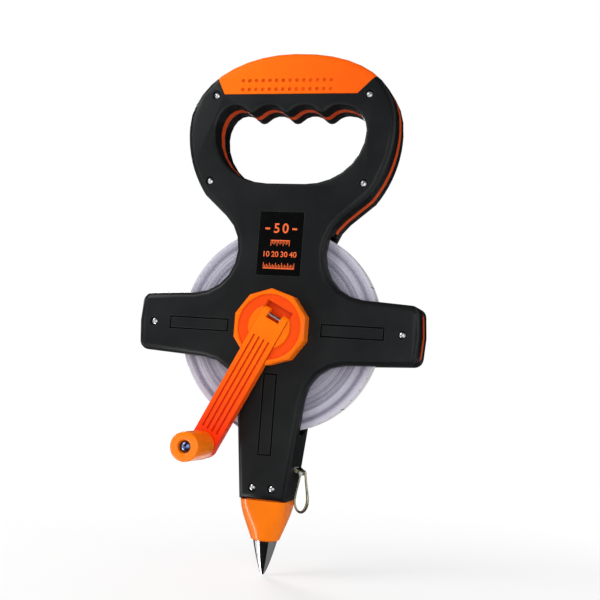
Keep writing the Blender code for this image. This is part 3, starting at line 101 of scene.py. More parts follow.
class ReelColours(bpy.types.PropertyGroup):
    """Colours of the reel's finishes."""

    frame_black: colour("Frame", "#101213", "Moulded frame halves")
    frame_grain: colour("Frame, lighter grain", "#191B1C", "Patches where the frame's grain is smoother")
    # Painted shade: the colour that grooves and inner corners of the frame are darkened to.
    frame_corner_shade: colour("Frame corners", "#050505", "Grooves and inner corners of the frame")
    # Painted highlight: the lighter grey painted along the frame's rounded edges.
    frame_edge_highlight: colour("Frame edges", "#5A5E62", "Frame edges, where the grain is rubbed smooth")
    # Painted shade: the engraved lines' floors are painted near black, with lighter patches of dust.
    groove_shade: colour("Engraved lines", "#030303", "Engraved lines")
    groove_dust_in_shade: colour("Engraved lines, dust", "#0C0C0B", "Dust in the engraved lines")
    orange: colour("Orange parts", "#F97004", "Crank hub")
    layer: colour("Middle layer", "#C9440C", "Middle layer and arm spacers, where little light falls")
    # Painted shade: the middle layer is darkened to this where the frame halves close round it.
    layer_corner_shade: colour("Middle layer, corners", "#7A2408", "Middle layer where the frame halves close round it")
    # Painted shade in the grooves and inner corners of the orange parts.
    orange_corner_shade: colour("Orange parts, corners", "#D22C00", "Grooves and inner corners of the orange parts")
    # Painted shade: the hub's sunk floors are painted redder and less bright.
    orange_sunk: colour("Hub recess", "#EE4A00", "Sunk floors of the hub")
    arm_top: colour("Arm, at the hub", "#FC7606", "Crank arm beside its hub")
    # Painted shade: the arm is painted redder towards the knob and in its grooves.
    arm_low: colour("Arm, at the knob", "#F5330A", "Crank arm beside its knob")
    arm_groove_shade: colour("Arm grooves", "#E22400", "Grooves between the ribs of the arm")
    amber: colour("Knob and nose", "#FF7E0A", "Knob and nose, moulded from a yellower batch")
    grip: colour("Grip, left", "#FB7000", "Grip saddle, left end")
    # Painted shade: the grip is painted redder towards its right end.
    grip_right_shade: colour("Grip, right", "#F65C04", "Grip saddle, right end")
    # Painted shade: the dimples are painted darker and redder, in uneven patches.
    dimple_deep_shade: colour("Dimples, grime", "#C84000", "Grime in the grip's dimples")
    dimple_light_shade: colour("Dimples, clean", "#E05000", "Grip's dimples, where they are clean")
    # Painted light and shade: the darker edge colour is for turns in shade, the lighter for lit turns.
    tape_edge_shaded: colour("Tape edge, dark", "#6C6880", "Edges of turns that lie back")
    tape_edge_lit: colour("Tape edge, light", "#C9C6D5", "Edges of turns that stand out")
    tape_face: colour("Tape face", "#F0EEF2", "Flat side of the tape")
    tape_print: colour("Tape print", "#17171A", "Graduation lines of the tape")
    label: colour("Label", "#050505", "Label plate")
    label_smear: colour("Label smears", "#080809", "Handling marks on the label plate")
    label_print: colour("Label print", "#F8641A", "Marks printed on the label")
    label_thin: colour("Label print, thin", "#B84800", "Marks where the ink is thin")
    steel: colour("Screw steel", "#D2D5D8", "Screws, pins and axle")
    blued: colour("Knob pin", "#5D6A94", "Head of the knob's pin")
    chrome: colour("Chrome", "#E4E6E8", "Ground spike")
    nickel: colour("Nickel", "#A8A488", "Clip and hook at the tape's end")
    bronze: colour("Bearing bronze", "#A9763F", "Axle bushes")
    floor: colour("Floor", "#F4F4F4", "Studio floor")


class ReelSizes(bpy.types.PropertyGroup):
    """Sizes of what the looks add to the solids."""

    turns: IntProperty(name="Tape turns", description="Turns wound on the drum", default=128, min=20, max=140)
    turn_points: IntProperty(name="Points per turn", description="Steps along one turn", default=96, min=24)
    turn_gap: length("Turn gap", 0.00005, "Air between one turn and the next")
    turn_stray: length("Turn stray", 0.00022, "How far a turn's edge lies off its neighbours' level")
    dimple_radius: length("Dimple radius", 0.0015, "Grip dimples, at the surface")
    dimple_depth: length("Dimple depth", 0.0007, "Grip dimples, below the surface")
    dimple_pitch: length("Dimple pitch", 0.0054, "One grip dimple to the next")
    dimples: IntProperty(name="Dimples in a row", description="Dimples in one row of the grip", default=14, min=1)
    wire_radius: length("Wire radius", 0.0007, "Wire of the hook")
    screw_radius: length("Screw head radius", 0.0023, "Heads of the frame screws")
    screw_dome: length("Screw head height", 0.0013, "Height of the screw heads")
    cross_width: length("Cross recess width", 0.0009, "Slots of the cross recess in a screw head")
    cross_depth: length("Cross recess depth", 0.0008, "Depth of the cross recess")
    edge_round: length("Edge round", 0.0005, "Softness of the moulded edges")


def sizes():
    return bpy.context.scene.reel_sizes


def tint(name):
    """One of the reel's colours with full opacity."""
    return (*getattr(bpy.context.scene.reel_colours, name), 1.0)


# ======== nodes
def add(tree, kind, inputs=None, **settings):
    """Adds a shader node with its own settings; its inputs are values, or outputs of other nodes to link to."""
    made = tree.nodes.new("ShaderNode" + kind)
    for key, value in settings.items():
        setattr(made, key, value)
    for key, value in (inputs or {}).items():
        if isinstance(value, bpy.types.NodeSocket):
            tree.links.new(value, made.inputs[key])
        else:
            made.inputs[key].default_value = value
    return made


def new_material(name, describe):
    """A material whose surface shader takes the inputs that describe gives for its tree and coordinates."""
    material = bpy.data.materials.new(name)
    material.use_nodes = True
    tree = material.node_tree
    tree.nodes.clear()
    where = add(tree, "TexCoord").outputs["Object"]
    shader = add(tree, "BsdfPrincipled", describe(tree, where))
    add(tree, "OutputMaterial", {"Surface": shader.outputs["BSDF"]})
    return material


def calc(tree, operation, first, second):
    """Arithmetic on two numbers or outputs."""
    return add(tree, "Math", {0: first, 1: second}, operation=operation).outputs["Value"]


def spread(tree, value, low, high, start=0.0, end=1.0):
    """Maps start..end to low..high, and holds there beyond."""
    inputs = {"Value": value, "From Min": start, "From Max": end, "To Min": low, "To Max": high}
    return add(tree, "MapRange", inputs).outputs["Result"]


def blend(tree, factor, first, second):
    """The colour first where the factor is 0 and second where it is 1."""
    inputs = {"Factor": factor, "A": first, "B": second}
    return add(tree, "Mix", inputs, data_type="RGBA").outputs["Result"]


def ramp(tree, factor, *stops):
    """A colour ramp through (position, name of a colour) stops."""
    made = add(tree, "ValToRGB", {"Fac": factor})
    for element, (position, name) in zip(made.color_ramp.elements, stops, strict=True):
        element.position = position
        element.color = tint(name)
    return made.outputs["Color"]


def noise(tree, where, grain, detail=2.0):
    """Noise whose lumps are about grain metres across."""
    inputs = {"Scale": 1.0 / grain, "Detail": detail, "Vector": where}
    return add(tree, "TexNoise", inputs).outputs["Fac"]


def rounded_edges(tree):
    """The surface's normal with its edges rounded, and how far it leans there, 0 on a flat."""
    soft = add(tree, "Bevel", {"Radius": sizes().edge_round}, samples=6).outputs["Normal"]
    true = add(tree, "NewGeometry").outputs["Normal"]
    agreement = add(tree, "VectorMath", {0: soft, 1: true}, operation="DOT_PRODUCT").outputs["Value"]
    return soft, spread(tree, agreement, 0.0, 1.0, 0.995, 0.80)


def corners(tree, body, corner_shade, distance, closed=0.30, open_sky=0.85):
    """The colour body, turned to the colour corner_shade where the piece's own surface closes round a point
    within
    distance: painted shade in its corners, grooves and recesses.

    It is all painted shade where the share of open sky is below closed. The share is the piece's own, so it stays
    the same whatever stands or moves beside it.
    """
    sky = add(tree, "AmbientOcclusion", {"Distance": distance}, samples=6, only_local=True)
    return blend(tree, spread(tree, sky.outputs["AO"], 0.0, 1.0, closed, open_sky), tint(corner_shade), body)


def bump(tree, height, distance, strength, **normal):
    """A bumped normal, on top of the one that Normal gives."""
    inputs = {"Height": height, "Distance": distance, "Strength": strength, **normal}
    return add(tree, "Bump", inputs).outputs["Normal"]


# ======== finishes
# Each function gives the inputs of a surface shader, for a material's node tree and coordinates.
def black_abs_satin(tree, where):
    """Black ABS from a spark-eroded mould.

    The mould leaves an even fine grain, which breaks up reflections. Its rounded edges are painted a lighter
    grey, a painted highlight, and its grooves and inner corners are painted darker, a painted shade. The real
    grain is about 0.1 mm, too fine to show, and is drawn at 0.7 mm.
    """
    soft, lean = rounded_edges(tree)
    grain = noise(tree, where, 0.0007)
    body = ramp(tree, noise(tree, where, 0.030, 3.0), (0.35, "frame_black"), (0.70, "frame_grain"))
    # Painted shade: darker where the frame's own surface closes round.
    body = corners(tree, body, "frame_corner_shade", 0.0026, 0.60, 0.97)
    # Painted highlight: the rounded edges are mixed towards a lighter grey.
    painted_highlight = calc(tree, "MULTIPLY", lean, 0.45)
    return {"Base Color": blend(tree, painted_highlight, body, tint("frame_edge_highlight")), "IOR": 1.54,
            "Roughness": spread(tree, grain, 0.30, 0.44), "Specular IOR Level": 0.15,
            "Normal": bump(tree, grain, 0.00010, 0.35, Normal=soft)}


def black_abs_groove_shaded(tree, where):
    """The same ABS on the floor of the engraved lines, left rough by the engraving, painted near black as shade,
    with lighter patches of dust.
    """
    dust = noise(tree, where, 0.003, 3.0)
    return {"Base Color": ramp(tree, dust, (0.3, "groove_shade"), (0.8, "groove_dust_in_shade")), "Roughness": 0.8,
            "Specular IOR Level": 0.05}


def orange_plastic(tree, where, colours, rough, grain, gloss, drift=("Z", 0.0, 0.4), reach=0.0022,
                   corner_shade="orange_corner_shade"):
    """An orange moulding whose colour drifts between two colours, and is painted redder in its corners as shade.

    The drift is the axis and the places of both colours on it. The plastic is a little translucent, with a
    faint waviness of the given grain in its gloss. The gloss is the specular level, where 0.5 is a bare
    polished plastic, and reach is how far the painted shade in its corners comes out.
    """
    axis, start, end = drift
    soft, _ = rounded_edges(tree)
    place = add(tree, "SeparateXYZ", {"Vector": where}).outputs[axis]
    body = ramp(tree, spread(tree, place, 0.0, 1.0, start, end), (0.0, colours[0]), (1.0, colours[-1]))
    cloud = spread(tree, noise(tree, where, 0.018), 0.93, 1.05)
    body = add(tree, "VectorMath", {0: body, "Scale": cloud}, operation="SCALE").outputs["Vector"]
    wave = noise(tree, where, grain, 1.0)
    return {"Base Color": corners(tree, body, corner_shade, reach), "Roughness": spread(tree, wave, *rough),
            "Normal": bump(tree, wave, 0.00006, 0.25, Normal=soft), "IOR": 1.50, "Specular IOR Level": gloss,
            "Subsurface Weight": 0.12, "Subsurface Radius": (1.0, 0.12, 0.01), "Subsurface Scale": 0.002}


def orange_abs_layer(tree, where):
    """Matt orange ABS of the middle layer, painted darker and duller as shade between the frame halves, more so
    inwards.
    """
    return orange_plastic(tree, where, ["layer"], (0.40, 0.50), 0.0015, 0.10, reach=0.006, corner_shade="layer_corner_shade")


def orange_abs_gloss(tree, where):
    """Orange ABS from a polished mould: the crank's hub."""
    return orange_plastic(tree, where, ["orange"], (0.22, 0.30), 0.0025, 0.14)


def orange_abs_recess_shaded(tree, where):
    """The hub's sunk floors: rougher than the face, and painted redder and less bright as shade there."""
    return orange_plastic(tree, where, ["orange_sunk"], (0.34, 0.44), 0.0015, 0.12)


def orange_abs_arm(tree, where):
    """The same ABS on the crank arm, painted redder towards its far end and in its grooves as shade."""
    return orange_plastic(tree, where, ["arm_low", "arm_top"], (0.20, 0.28), 0.0025, 0.16, ("Z", 0.100, 0.185),
                          corner_shade="arm_groove_shade")


def amber_abs_gloss(tree, where):
    """Yellower orange ABS with a high gloss: knob and nose."""
    return orange_plastic(tree, where, ["amber"], (0.14, 0.20), 0.0030, 0.32, reach=0.0015)


def grip_elastomer(tree, where):
    """Thermoplastic elastomer moulded over the handle: soft to the touch, hardly glossy."""
    # Painted shade: redder towards the right end and in the corners.
    return orange_plastic(tree, where, ["grip", "grip_right_shade"], (0.38, 0.48), 0.0011, 0.08, ("X", -0.045, 0.050),
                          0.0008)


def grip_elastomer_dimple_shaded(tree, where):
    """The same elastomer inside the grip's dimples, painted darker and redder as shade there, in uneven patches.
    """
    shade_patches = noise(tree, where, 0.004, 3.0)
    return {"Base Color": ramp(tree, shade_patches, (0.3, "dimple_deep_shade"), (0.7, "dimple_light_shade")), "Roughness": 0.6,
            "IOR": 1.50, "Specular IOR Level": 0.08}


def tape_pvc_edge(tree, where):
    """Edges of a glass-fibre tape with a PVC coat: slit edges of many turns, some forward, some back.

    The attribute turn_light paints light and shade: 0 shades a turn that lies back, 1 lights one that sticks out.
    """
    turn_light = add(tree, "Attribute", attribute_name="turn_light").outputs["Fac"]
    level = calc(tree, "ADD", turn_light, calc(tree, "MULTIPLY", noise(tree, where, 0.0012, 3.0), 0.30))
    return {"Base Color": ramp(tree, level, (0.10, "tape_edge_shaded"), (1.00, "tape_edge_lit")),
            "Roughness": 0.45, "IOR": 1.53}


def tape_pvc_face(tree, where):
    """Flat side of the tape: white PVC over glass-fibre yarns, printed with graduation lines.

    In the UV map u is the length along the tape in metres and v runs from 0 to 1 across it. There is a line
    each centimetre from one edge, a longer one each 5 centimetres and a full one each 10 centimetres.
    """
    uv = add(tree, "UVMap", uv_map="tape").outputs["UV"]
    split = add(tree, "SeparateXYZ", {"Vector": uv}).outputs
    marks = 0.0
    for pitch, width, reach in ((0.01, 0.0007, 0.30), (0.05, 0.0008, 0.50), (0.10, 0.0009, 1.10)):
        line = calc(tree, "LESS_THAN", calc(tree, "MODULO", split["X"], pitch), width)
        line = calc(tree, "MULTIPLY", line, calc(tree, "LESS_THAN", split["Y"], reach))
        marks = calc(tree, "MAXIMUM", line, marks)
    yarn = add(tree, "TexWave", {"Scale": 5.0, "Distortion": 0.4, "Vector": uv}, bands_direction="Y")
    return {"Base Color": blend(tree, marks, tint("tape_face"), tint("tape_print")),
            "Normal": bump(tree, yarn.outputs["Fac"], 0.00005, 0.3), "Roughness": 0.38, "IOR": 1.53}


def metal(tree, where, base, rough, brush=(1.0, 1.0, 1.0), scuff=0.10, stain=0.82):
    """A bare metal with fine machining marks.

    Brush stretches the marks' grain along x, y and z, and stain is the brightness of its duller patches.
    """
    stretched = add(tree, "Mapping", {"Scale": brush, "Vector": where}).outputs["Vector"]
    marks = noise(tree, stretched, 0.0006, 3.0)
    clean = spread(tree, noise(tree, where, 0.004), 0.0, 1.0, 0.35, 0.65)
    red, green, blue, _ = tint(base)
    dull = (stain * red, stain * green, stain * blue, 1.0)
    return {"Base Color": blend(tree, clean, dull, tint(base)), "Metallic": 1.0,
            "Roughness": spread(tree, marks, rough, rough + scuff), "Normal": bump(tree, marks, 0.00002, 0.25)}


def zinc_plated_steel(tree, where):
    """Zinc-plated steel: bright, with a fine turned texture, on screws, pins and the axle."""
    return metal(tree, where, "steel", 0.22, (1.0, 4.0, 1.0))


def chromium_plated_steel(tree, where):
    """Chromium plate on turned steel: mirror bright, with faint rings left by the lathe."""
    return metal(tree, where, "chrome", 0.04, (0.3, 0.3, 4.0), 0.04, 0.97)


def blued_steel(tree, where):
    """Steel with a thin blue-grey oxide from tempering: head of the knob's pin."""
    return metal(tree, where, "blued", 0.16)


def nickel_plated_wire(tree, where):
    """Dull nickel plate on spring wire and folded sheet, slightly yellow."""
    return metal(tree, where, "nickel", 0.20, stain=0.6)


def sintered_bronze(tree, where):
    """Oil-filled sintered bronze: matt and speckled."""
    return metal(tree, where, "bronze", 0.42)


def black_lacquer(tree, where):
    """Gloss black lacquer on the label's aluminium sheet, with light handling marks."""
    smears = noise(tree, where, 0.006, 4.0)
    return {"Base Color": ramp(tree, smears, (0.4, "label"), (0.9, "label_smear")),
            "Roughness": spread(tree, smears, 0.24, 0.30), "IOR": 1.50, "Specular IOR Level": 0.12}


def orange_print_ink(tree, where):
    """Orange screen-print ink, a little uneven where the mesh left it thin."""
    cover = noise(tree, where, 0.0012, 3.0)
    return {"Base Color": ramp(tree, cover, (0.25, "label_thin"), (0.55, "label_print")), "Roughness": 0.5}


made_finishes = {}


def finish(describe):
    """The material of a finish, made once."""
    if describe not in made_finishes:
        made_finishes[describe] = new_material(describe.__name__, describe)
    return made_finishes[describe]


# ======== surfaces
def linked(name, data):
    """A new object of the scene with that data."""
    made = bpy.data.objects.new(name, data)
    bpy.context.scene.collection.objects.link(made)
    return made


def around(count):
    """That many angles, evenly round a full turn."""
    return np.linspace(0, 2 * math.pi, count, endpoint=False)


def grid(rows, columns, wrap_rows=False, wrap_columns=False):
    """Quads of a grid of points, numbered row by row; a wrapped side joins its last points to its first."""
    r = np.arange(rows if wrap_rows else rows - 1)[:, None]
    c = np.arange(columns if wrap_columns else columns - 1)[None, :]
    below, right = (r + 1) % rows, (c + 1) % columns
    return np.stack([r * columns + c, r * columns + right, below * columns + right, below * columns + c],
                    axis=-1).reshape(-1, 4)


def tube(rows, columns):
    """Quads between rows of points round a tube, and the faces that close its first and its last row."""
    ring = np.arange(columns)[None, :]
    return grid(rows, columns, wrap_columns=True), ring[:, ::-1], (rows - 1) * columns + ring


def flipped(faces):
    return [face[:, ::-1] for face in faces]


def make_mesh(name, points, *faces):
    """A mesh from an array of points and arrays of faces, one array for each number of corners."""
    corners = np.concatenate([f.ravel() for f in faces]).astype(np.int32)
    totals = np.concatenate([np.full(len(f), f.shape[1]) for f in faces]).astype(np.int32)
    mesh = bpy.data.meshes.new(name)
    mesh.vertices.add(len(points))
    mesh.vertices.foreach_set("co", np.asarray(points, np.float32).ravel())
    mesh.loops.add(len(corners))
    mesh.loops.foreach_set("vertex_index", corners)
    mesh.polygons.add(len(totals))
    mesh.polygons.foreach_set("loop_start", np.concatenate(([0], np.cumsum(totals)[:-1])).astype(np.int32))
    mesh.polygons.foreach_set("loop_total", totals)
    mesh.update(calc_edges=True)
    return mesh


def mesh_arrays(mesh):
    """The mesh's points and triangles."""
    mesh.calc_loop_triangles()
    points = np.empty(len(mesh.vertices) * 3)
    mesh.vertices.foreach_get("co", points)
    triangles = np.empty(len(mesh.loop_triangles) * 3, np.int32)
    mesh.loop_triangles.foreach_get("vertices", triangles)
    return points.reshape(-1, 3), triangles.reshape(-1, 3)


def place_piece(mesh, finishes, body, nodes=(), smooth_degrees=35.0):
    """Puts a mesh into the scene as a piece of the reel that rides on a body and stands for some solids."""
    made = linked(mesh.name, mesh)
    for describe in finishes:
        mesh.materials.append(finish(describe))
    mesh.shade_smooth()
    mesh.set_sharp_from_angle(angle=math.radians(smooth_degrees))
    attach(made, body)
    if nodes:
        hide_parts(*nodes)
    return made


def node_surface(node):
    """A mesh of a solid's own surface, with the corners that lie on one spot made one point."""
    points, triangles = mesh_arrays(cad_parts[node].data)
    _, first, index = np.unique(np.round(points, 7), axis=0, return_index=True, return_inverse=True)
    triangles = index.ravel()[triangles]
    a, b, c = triangles.T
    return make_mesh(node + "_surface", points[first], triangles[(a != b) & (b != c) & (c != a)])


def keep_flats(made, weight):
    """Shades flats flat beside roundings, the more so above the neutral weight of 50."""
    weighted = made.modifiers.new("flats", "WEIGHTED_NORMAL")
    weighted.keep_sharp = True
    weighted.weight = weight


def moulded(node, describe, body, smooth_degrees=35.0):
    """A solid's own surface with its roundings shaded smooth and its flats kept flat."""
    made = place_piece(node_surface(node), [describe], body, [node], smooth_degrees)
    keep_flats(made, 100)
    return made


def middles(made, what="center"):
    """The middles of the piece's faces, or their normals."""
    values = np.empty(len(made.data.polygons) * 3)
    made.data.polygons.foreach_get(what, values)
    return values.reshape(-1, 3)


def second_finish(made, describe, chosen):
    """Gives the chosen faces of the piece another finish."""
    made.data.materials.append(finish(describe))
    made.data.polygons.foreach_set("material_index", chosen.astype(np.int32))


def about(axis, place, radius, angle, height):
    """Points at radius and angle round an axis through place, at height along it.

    Round Y the place is (x, z), and round Z it is (x, y).
    """
    first = place[0] + radius * np.cos(angle)
    second = place[1] + radius * np.sin(angle)
    level = np.broadcast_to(height, first.shape)
    return np.stack((first, level, second) if axis == "Y" else (first, second, level), axis=-1).reshape(-1, 3)


def turned(name, profile, place, axis="Y", segments=64, ring=False):
    """A surface of revolution: the profile's (radius, height) points carried round the axis.

    A ring's profile is a closed line, and any other surface is closed by flat faces at the profile's ends.
    """
    radius, height = np.array(profile, float).T
    points = about(axis, place, radius[:, None], around(segments)[None, :], height[:, None])
    if ring:
        faces = [grid(len(radius), segments, True, True)]
        outward = np.sum(radius * np.roll(height, -1) - np.roll(radius, -1) * height) < 0
    else:
        faces = tube(len(radius), segments)
        outward = (height[-1] > height[0]) == (axis == "Z")
    return make_mesh(name, points, *(faces if outward else flipped(faces)))


def rounded_profile(corners, radius, steps=5):
    """Rounds each inner corner of a (radius, height) profile by a quarter-turn arc, as a quadratic blend.

    Between the points a and b, radius away from the corner c on both sides, the curve at t is
    (1 - t)^2 a + 2 t (1 - t) c + t^2 b.
    """
    corners = np.array(corners, float)
    t = np.linspace(0, 1, steps)[:, None]
    path = [corners[:1]]
    for before, here, after in zip(corners[:-2], corners[1:-1], corners[2:]):
        back, on = before - here, after - here
        reach = min(radius, 0.49 * np.linalg.norm(back), 0.49 * np.linalg.norm(on))
        a = here + back / np.linalg.norm(back) * reach
        b = here + on / np.linalg.norm(on) * reach
        path.append((1 - t) ** 2 * a + 2 * t * (1 - t) * here + t ** 2 * b)
    path.append(corners[-1:])
    return np.concatenate(path)


def wire(name, path, radii, sides=16):
    """A round wire along a closed path in the XZ plane: at each point a ring square to the path's direction."""
    along = np.roll(path, -1, axis=0) - np.roll(path, 1, axis=0)
    along /= np.linalg.norm(along, axis=1)[:, None]
    out = radii[:, None] * np.cos(around(sides))
    points = np.stack((path[:, :1] + out * along[:, 1:], radii[:, None] * np.sin(around(sides)),
                       path[:, 1:] - out * along[:, :1]), axis=-1).reshape(-1, 3)
    return make_mesh(name, points, grid(len(path), sides, True, True))


def ribbon(name, path, outward, thickness, low, high, turn_light):
    """A flat tape on edge along a path in the XZ plane.

    At each point its section is a rectangle, half the thickness to each side of the path along outward, and
    from low to high in Y. The UV map tape holds the distance along and 0 or 1 at the two edges, and the
    attribute turn_light the given value of each point, which sets how light the edges are painted. The first
    material is for the edges and the second for the flat sides.
    """
    inner, outer = path - outward * thickness / 2, path + outward * thickness / 2
    points = np.empty((len(path), 4, 3))
    for corner, (place, level) in enumerate(((inner, low), (outer, low), (outer, high), (inner, high))):
        points[:, corner, ::2] = place
        points[:, corner, 1] = level
    faces = tube(len(path), 4)
    mesh = make_mesh(name, points.reshape(-1, 3), *faces)
    flat_side = np.arange(len(mesh.polygons)) % 2
    flat_side[-2:] = 0   # the ends
    mesh.polygons.foreach_set("material_index", flat_side.astype(np.int32))
    distance = np.concatenate(([0.0], np.cumsum(np.linalg.norm(np.diff(path, axis=0), axis=1))))
    uv = np.stack((np.repeat(distance, 4), np.tile([0.0, 0.0, 1.0, 1.0], len(path))), axis=-1)
    uv = uv[np.concatenate(faces).ravel()]
    mesh.uv_layers.new(name="tape").data.foreach_set("uv", uv.astype(np.float32).ravel())
    values = mesh.attributes.new("turn_light", "FLOAT", "POINT").data
    values.foreach_set("value", np.repeat(turn_light, 4).astype(np.float32))
    return mesh


# ======== frame
class TAPEREEL_OT_frame(bpy.types.Operator):
    """Frame halves, middle layer, arm spacers and tape guide"""

    bl_idname = "tape_reel.frame"
    bl_label = "Frame"

    def execute(self, context):
        for node in ("front_shell", "rear_shell"):
            made = moulded(node, black_abs_satin, "frame", 30.0)
            x, y, z = np.abs(middles(made) - (AXIS[0], 0.0, AXIS[1])).T
            in_arms, in_leg = ((start < way) & (way < end) & (across < half) for way, across, (start, end, half)
                               in ((x, z, ARM_PANEL), (z, x, LEG_PANEL)))
            # The floors of the engraved lines get a finish painted near black as shade.
            sunk = (y < FACE_Y - 0.0001) & (y > FACE_Y - ENGRAVED_DEPTH)
            second_finish(made, black_abs_groove_shaded, sunk & (in_arms | in_leg))
        moulded("tape_guide", black_abs_satin, "frame")
        for node in ("handle_core", "arm_spacer_left", "arm_spacer_right"):
            moulded(node, orange_abs_layer, "frame")
        return {"FINISHED"}


class TAPEREEL_OT_grip(bpy.types.Operator):
    """Grip saddle with rows of dimples on both faces"""

    bl_idname = "tape_reel.grip"
    bl_label = "Grip"

    def execute(self, context):
        whole = node_surface("grip")
        made = place_piece(whole, [grip_elastomer], "frame", ["grip"], 30.0)
        cutter = linked("dimple_cutter", self.dimples(sizes()))
        cutter.data.materials.append(finish(grip_elastomer_dimple_shaded))
        carve = made.modifiers.new("dimples", "BOOLEAN")
        carve.operation = "DIFFERENCE"
        carve.solver = "EXACT"
        carve.material_mode = "TRANSFER"
        carve.object = cutter
        context.view_layer.update()
        made.data = bpy.data.meshes.new_from_object(made.evaluated_get(context.evaluated_depsgraph_get()))
        made.modifiers.remove(carve)
        bpy.data.meshes.remove(whole)
        bpy.data.objects.remove(cutter)
        made.data.set_sharp_from_angle(angle=math.radians(30))
        keep_flats(made, 50)
        return {"FINISHED"}

    def dimples(self, s):
        """Two rows of balls on each face.

        A ball that leaves a cap of radius a and depth d has the radius (a^2 + d^2) / (2 d), and its centre
        stands off the face by that radius less the depth.
        """
        ball = (s.dimple_radius ** 2 + s.dimple_depth ** 2) / (2 * s.dimple_depth)
        rows, columns = 13, 20
        tilt = np.linspace(-math.pi / 2, math.pi / 2, rows + 2)[1:-1, None]
        unit = about("Z", (0.0, 0.0), ball * np.cos(tilt), around(columns)[None, :], ball * np.sin(tilt))
        quads, *ends = tube(rows, columns)
        run = (np.arange(s.dimples) - (s.dimples - 1) / 2) * s.dimple_pitch + DIMPLE_SHIFT
        x, z, side = np.meshgrid(run, DIMPLE_LEVELS, (-1, 1), indexing="ij")
        y = side * (FACE_Y + ball - s.dimple_depth)
        centres = np.stack((x, y, z), axis=-1).reshape(-1, 1, 3)
        starts = (np.arange(len(centres)) * len(unit))[:, None, None]
        return make_mesh("dimple_cutter", (centres + unit).reshape(-1, 3), (quads + starts).reshape(-1, 4),
                         (np.concatenate(ends) + starts).reshape(-1, columns))


# ======== label
class TAPEREEL_OT_label(bpy.types.Operator):
    """Label plate with a plain scale printed on it"""

    bl_idname = "tape_reel.label"
    bl_label = "Label"

    def execute(self, context):
        moulded("label_plate", black_lacquer, "frame")
        # a large 50 between two dashes over a short scale, and four numbers over a long one
        marks = [self.figures("50", 0.0074, 0.0113, spacing=1.35),
                 self.bars([(-0.0125, -0.0088, 0.0106, 0.0120), (0.0088, 0.0125, 0.0106, 0.0120)]),
                 self.scale(0.0020, -1, 13, 0.0144)]
        marks += [self.figures(f"{10 * i + 10}", 0.0042, -0.0083, -0.01065 + 0.0071 * i) for i in range(4)]
        marks.append(self.scale(-0.0185, 1, 21, 0.0240))
        starts = np.cumsum([0] + [len(points) for points, _ in marks])
        mesh = make_mesh("label_print", np.concatenate([points for points, _ in marks]),
                         np.concatenate([faces + start for (_, faces), start in zip(marks, starts)]))
        place_piece(mesh, [orange_print_ink], "frame", smooth_degrees=20.0)
        return {"FINISHED"}

    def bars(self, boxes):
        """Thin boxes on the label from (left, right, low, high), measured from its centre."""
        corners = np.array([[(a, c), (b, c), (b, d), (a, d)] for a, b, c, d in boxes]) + LABEL_CENTRE
        near, far = (np.insert(corners, 1, -FACE_Y - off, axis=2) for off in (2 * HAIR, HAIR))
        box = np.array([[0, 1, 2], [0, 2, 3], [4, 6, 5], [4, 7, 6], [0, 5, 1], [0, 4, 5], [1, 6, 2], [1, 5, 6],
                        [2, 7, 3], [2, 6, 7], [3, 4, 0], [3, 7, 4]])
        starts = (np.arange(len(boxes)) * 8)[:, None, None]
        return np.concatenate((near, far), axis=1).reshape(-1, 3), (box + starts).reshape(-1, 3)

    def scale(self, level, way, count, span, width=0.0005, base=0.0007):
        """A row of graduation lines on a base line; each second is longer and each fourth longest."""
        boxes = [(-span / 2 - width / 2, span / 2 + width / 2, *sorted((level, level - way * base)))]
        for k in range(count):
            x = -span / 2 + span * k / (count - 1)
            rise = 0.0038 if k % 4 == 0 else 0.0028 if k % 2 == 0 else 0.0020
            boxes.append((x - width / 2, x + width / 2, *sorted((level, level + way * rise))))
        return self.bars(boxes)

    def figures(self, word, height, rise, shift=0.0, spacing=1.0):
        """Plain figures as a thin solid, centred at shift and rise from the label's centre."""
        text = bpy.data.curves.new("figures", "FONT")
        text.body = word
        text.size = height * 1.38   # a figure is less tall than its font's size
        text.space_character = spacing
        text.align_x = "CENTER"
        text.align_y = "CENTER"
        text.extrude = HAIR / 2
        text.offset = height * 0.020
        text.resolution_u = 6
        holder = linked("figures", text)
        bpy.context.view_layer.update()
        evaluated = holder.evaluated_get(bpy.context.evaluated_depsgraph_get())
        flat, triangles = mesh_arrays(bpy.data.meshes.new_from_object(evaluated))
        bpy.data.objects.remove(holder)
        u, v, w = flat.T
        return np.stack((LABEL_CENTRE[0] + shift + u, -FACE_Y - 1.5 * HAIR - w, LABEL_CENTRE[1] + rise + v),
                        axis=-1), triangles


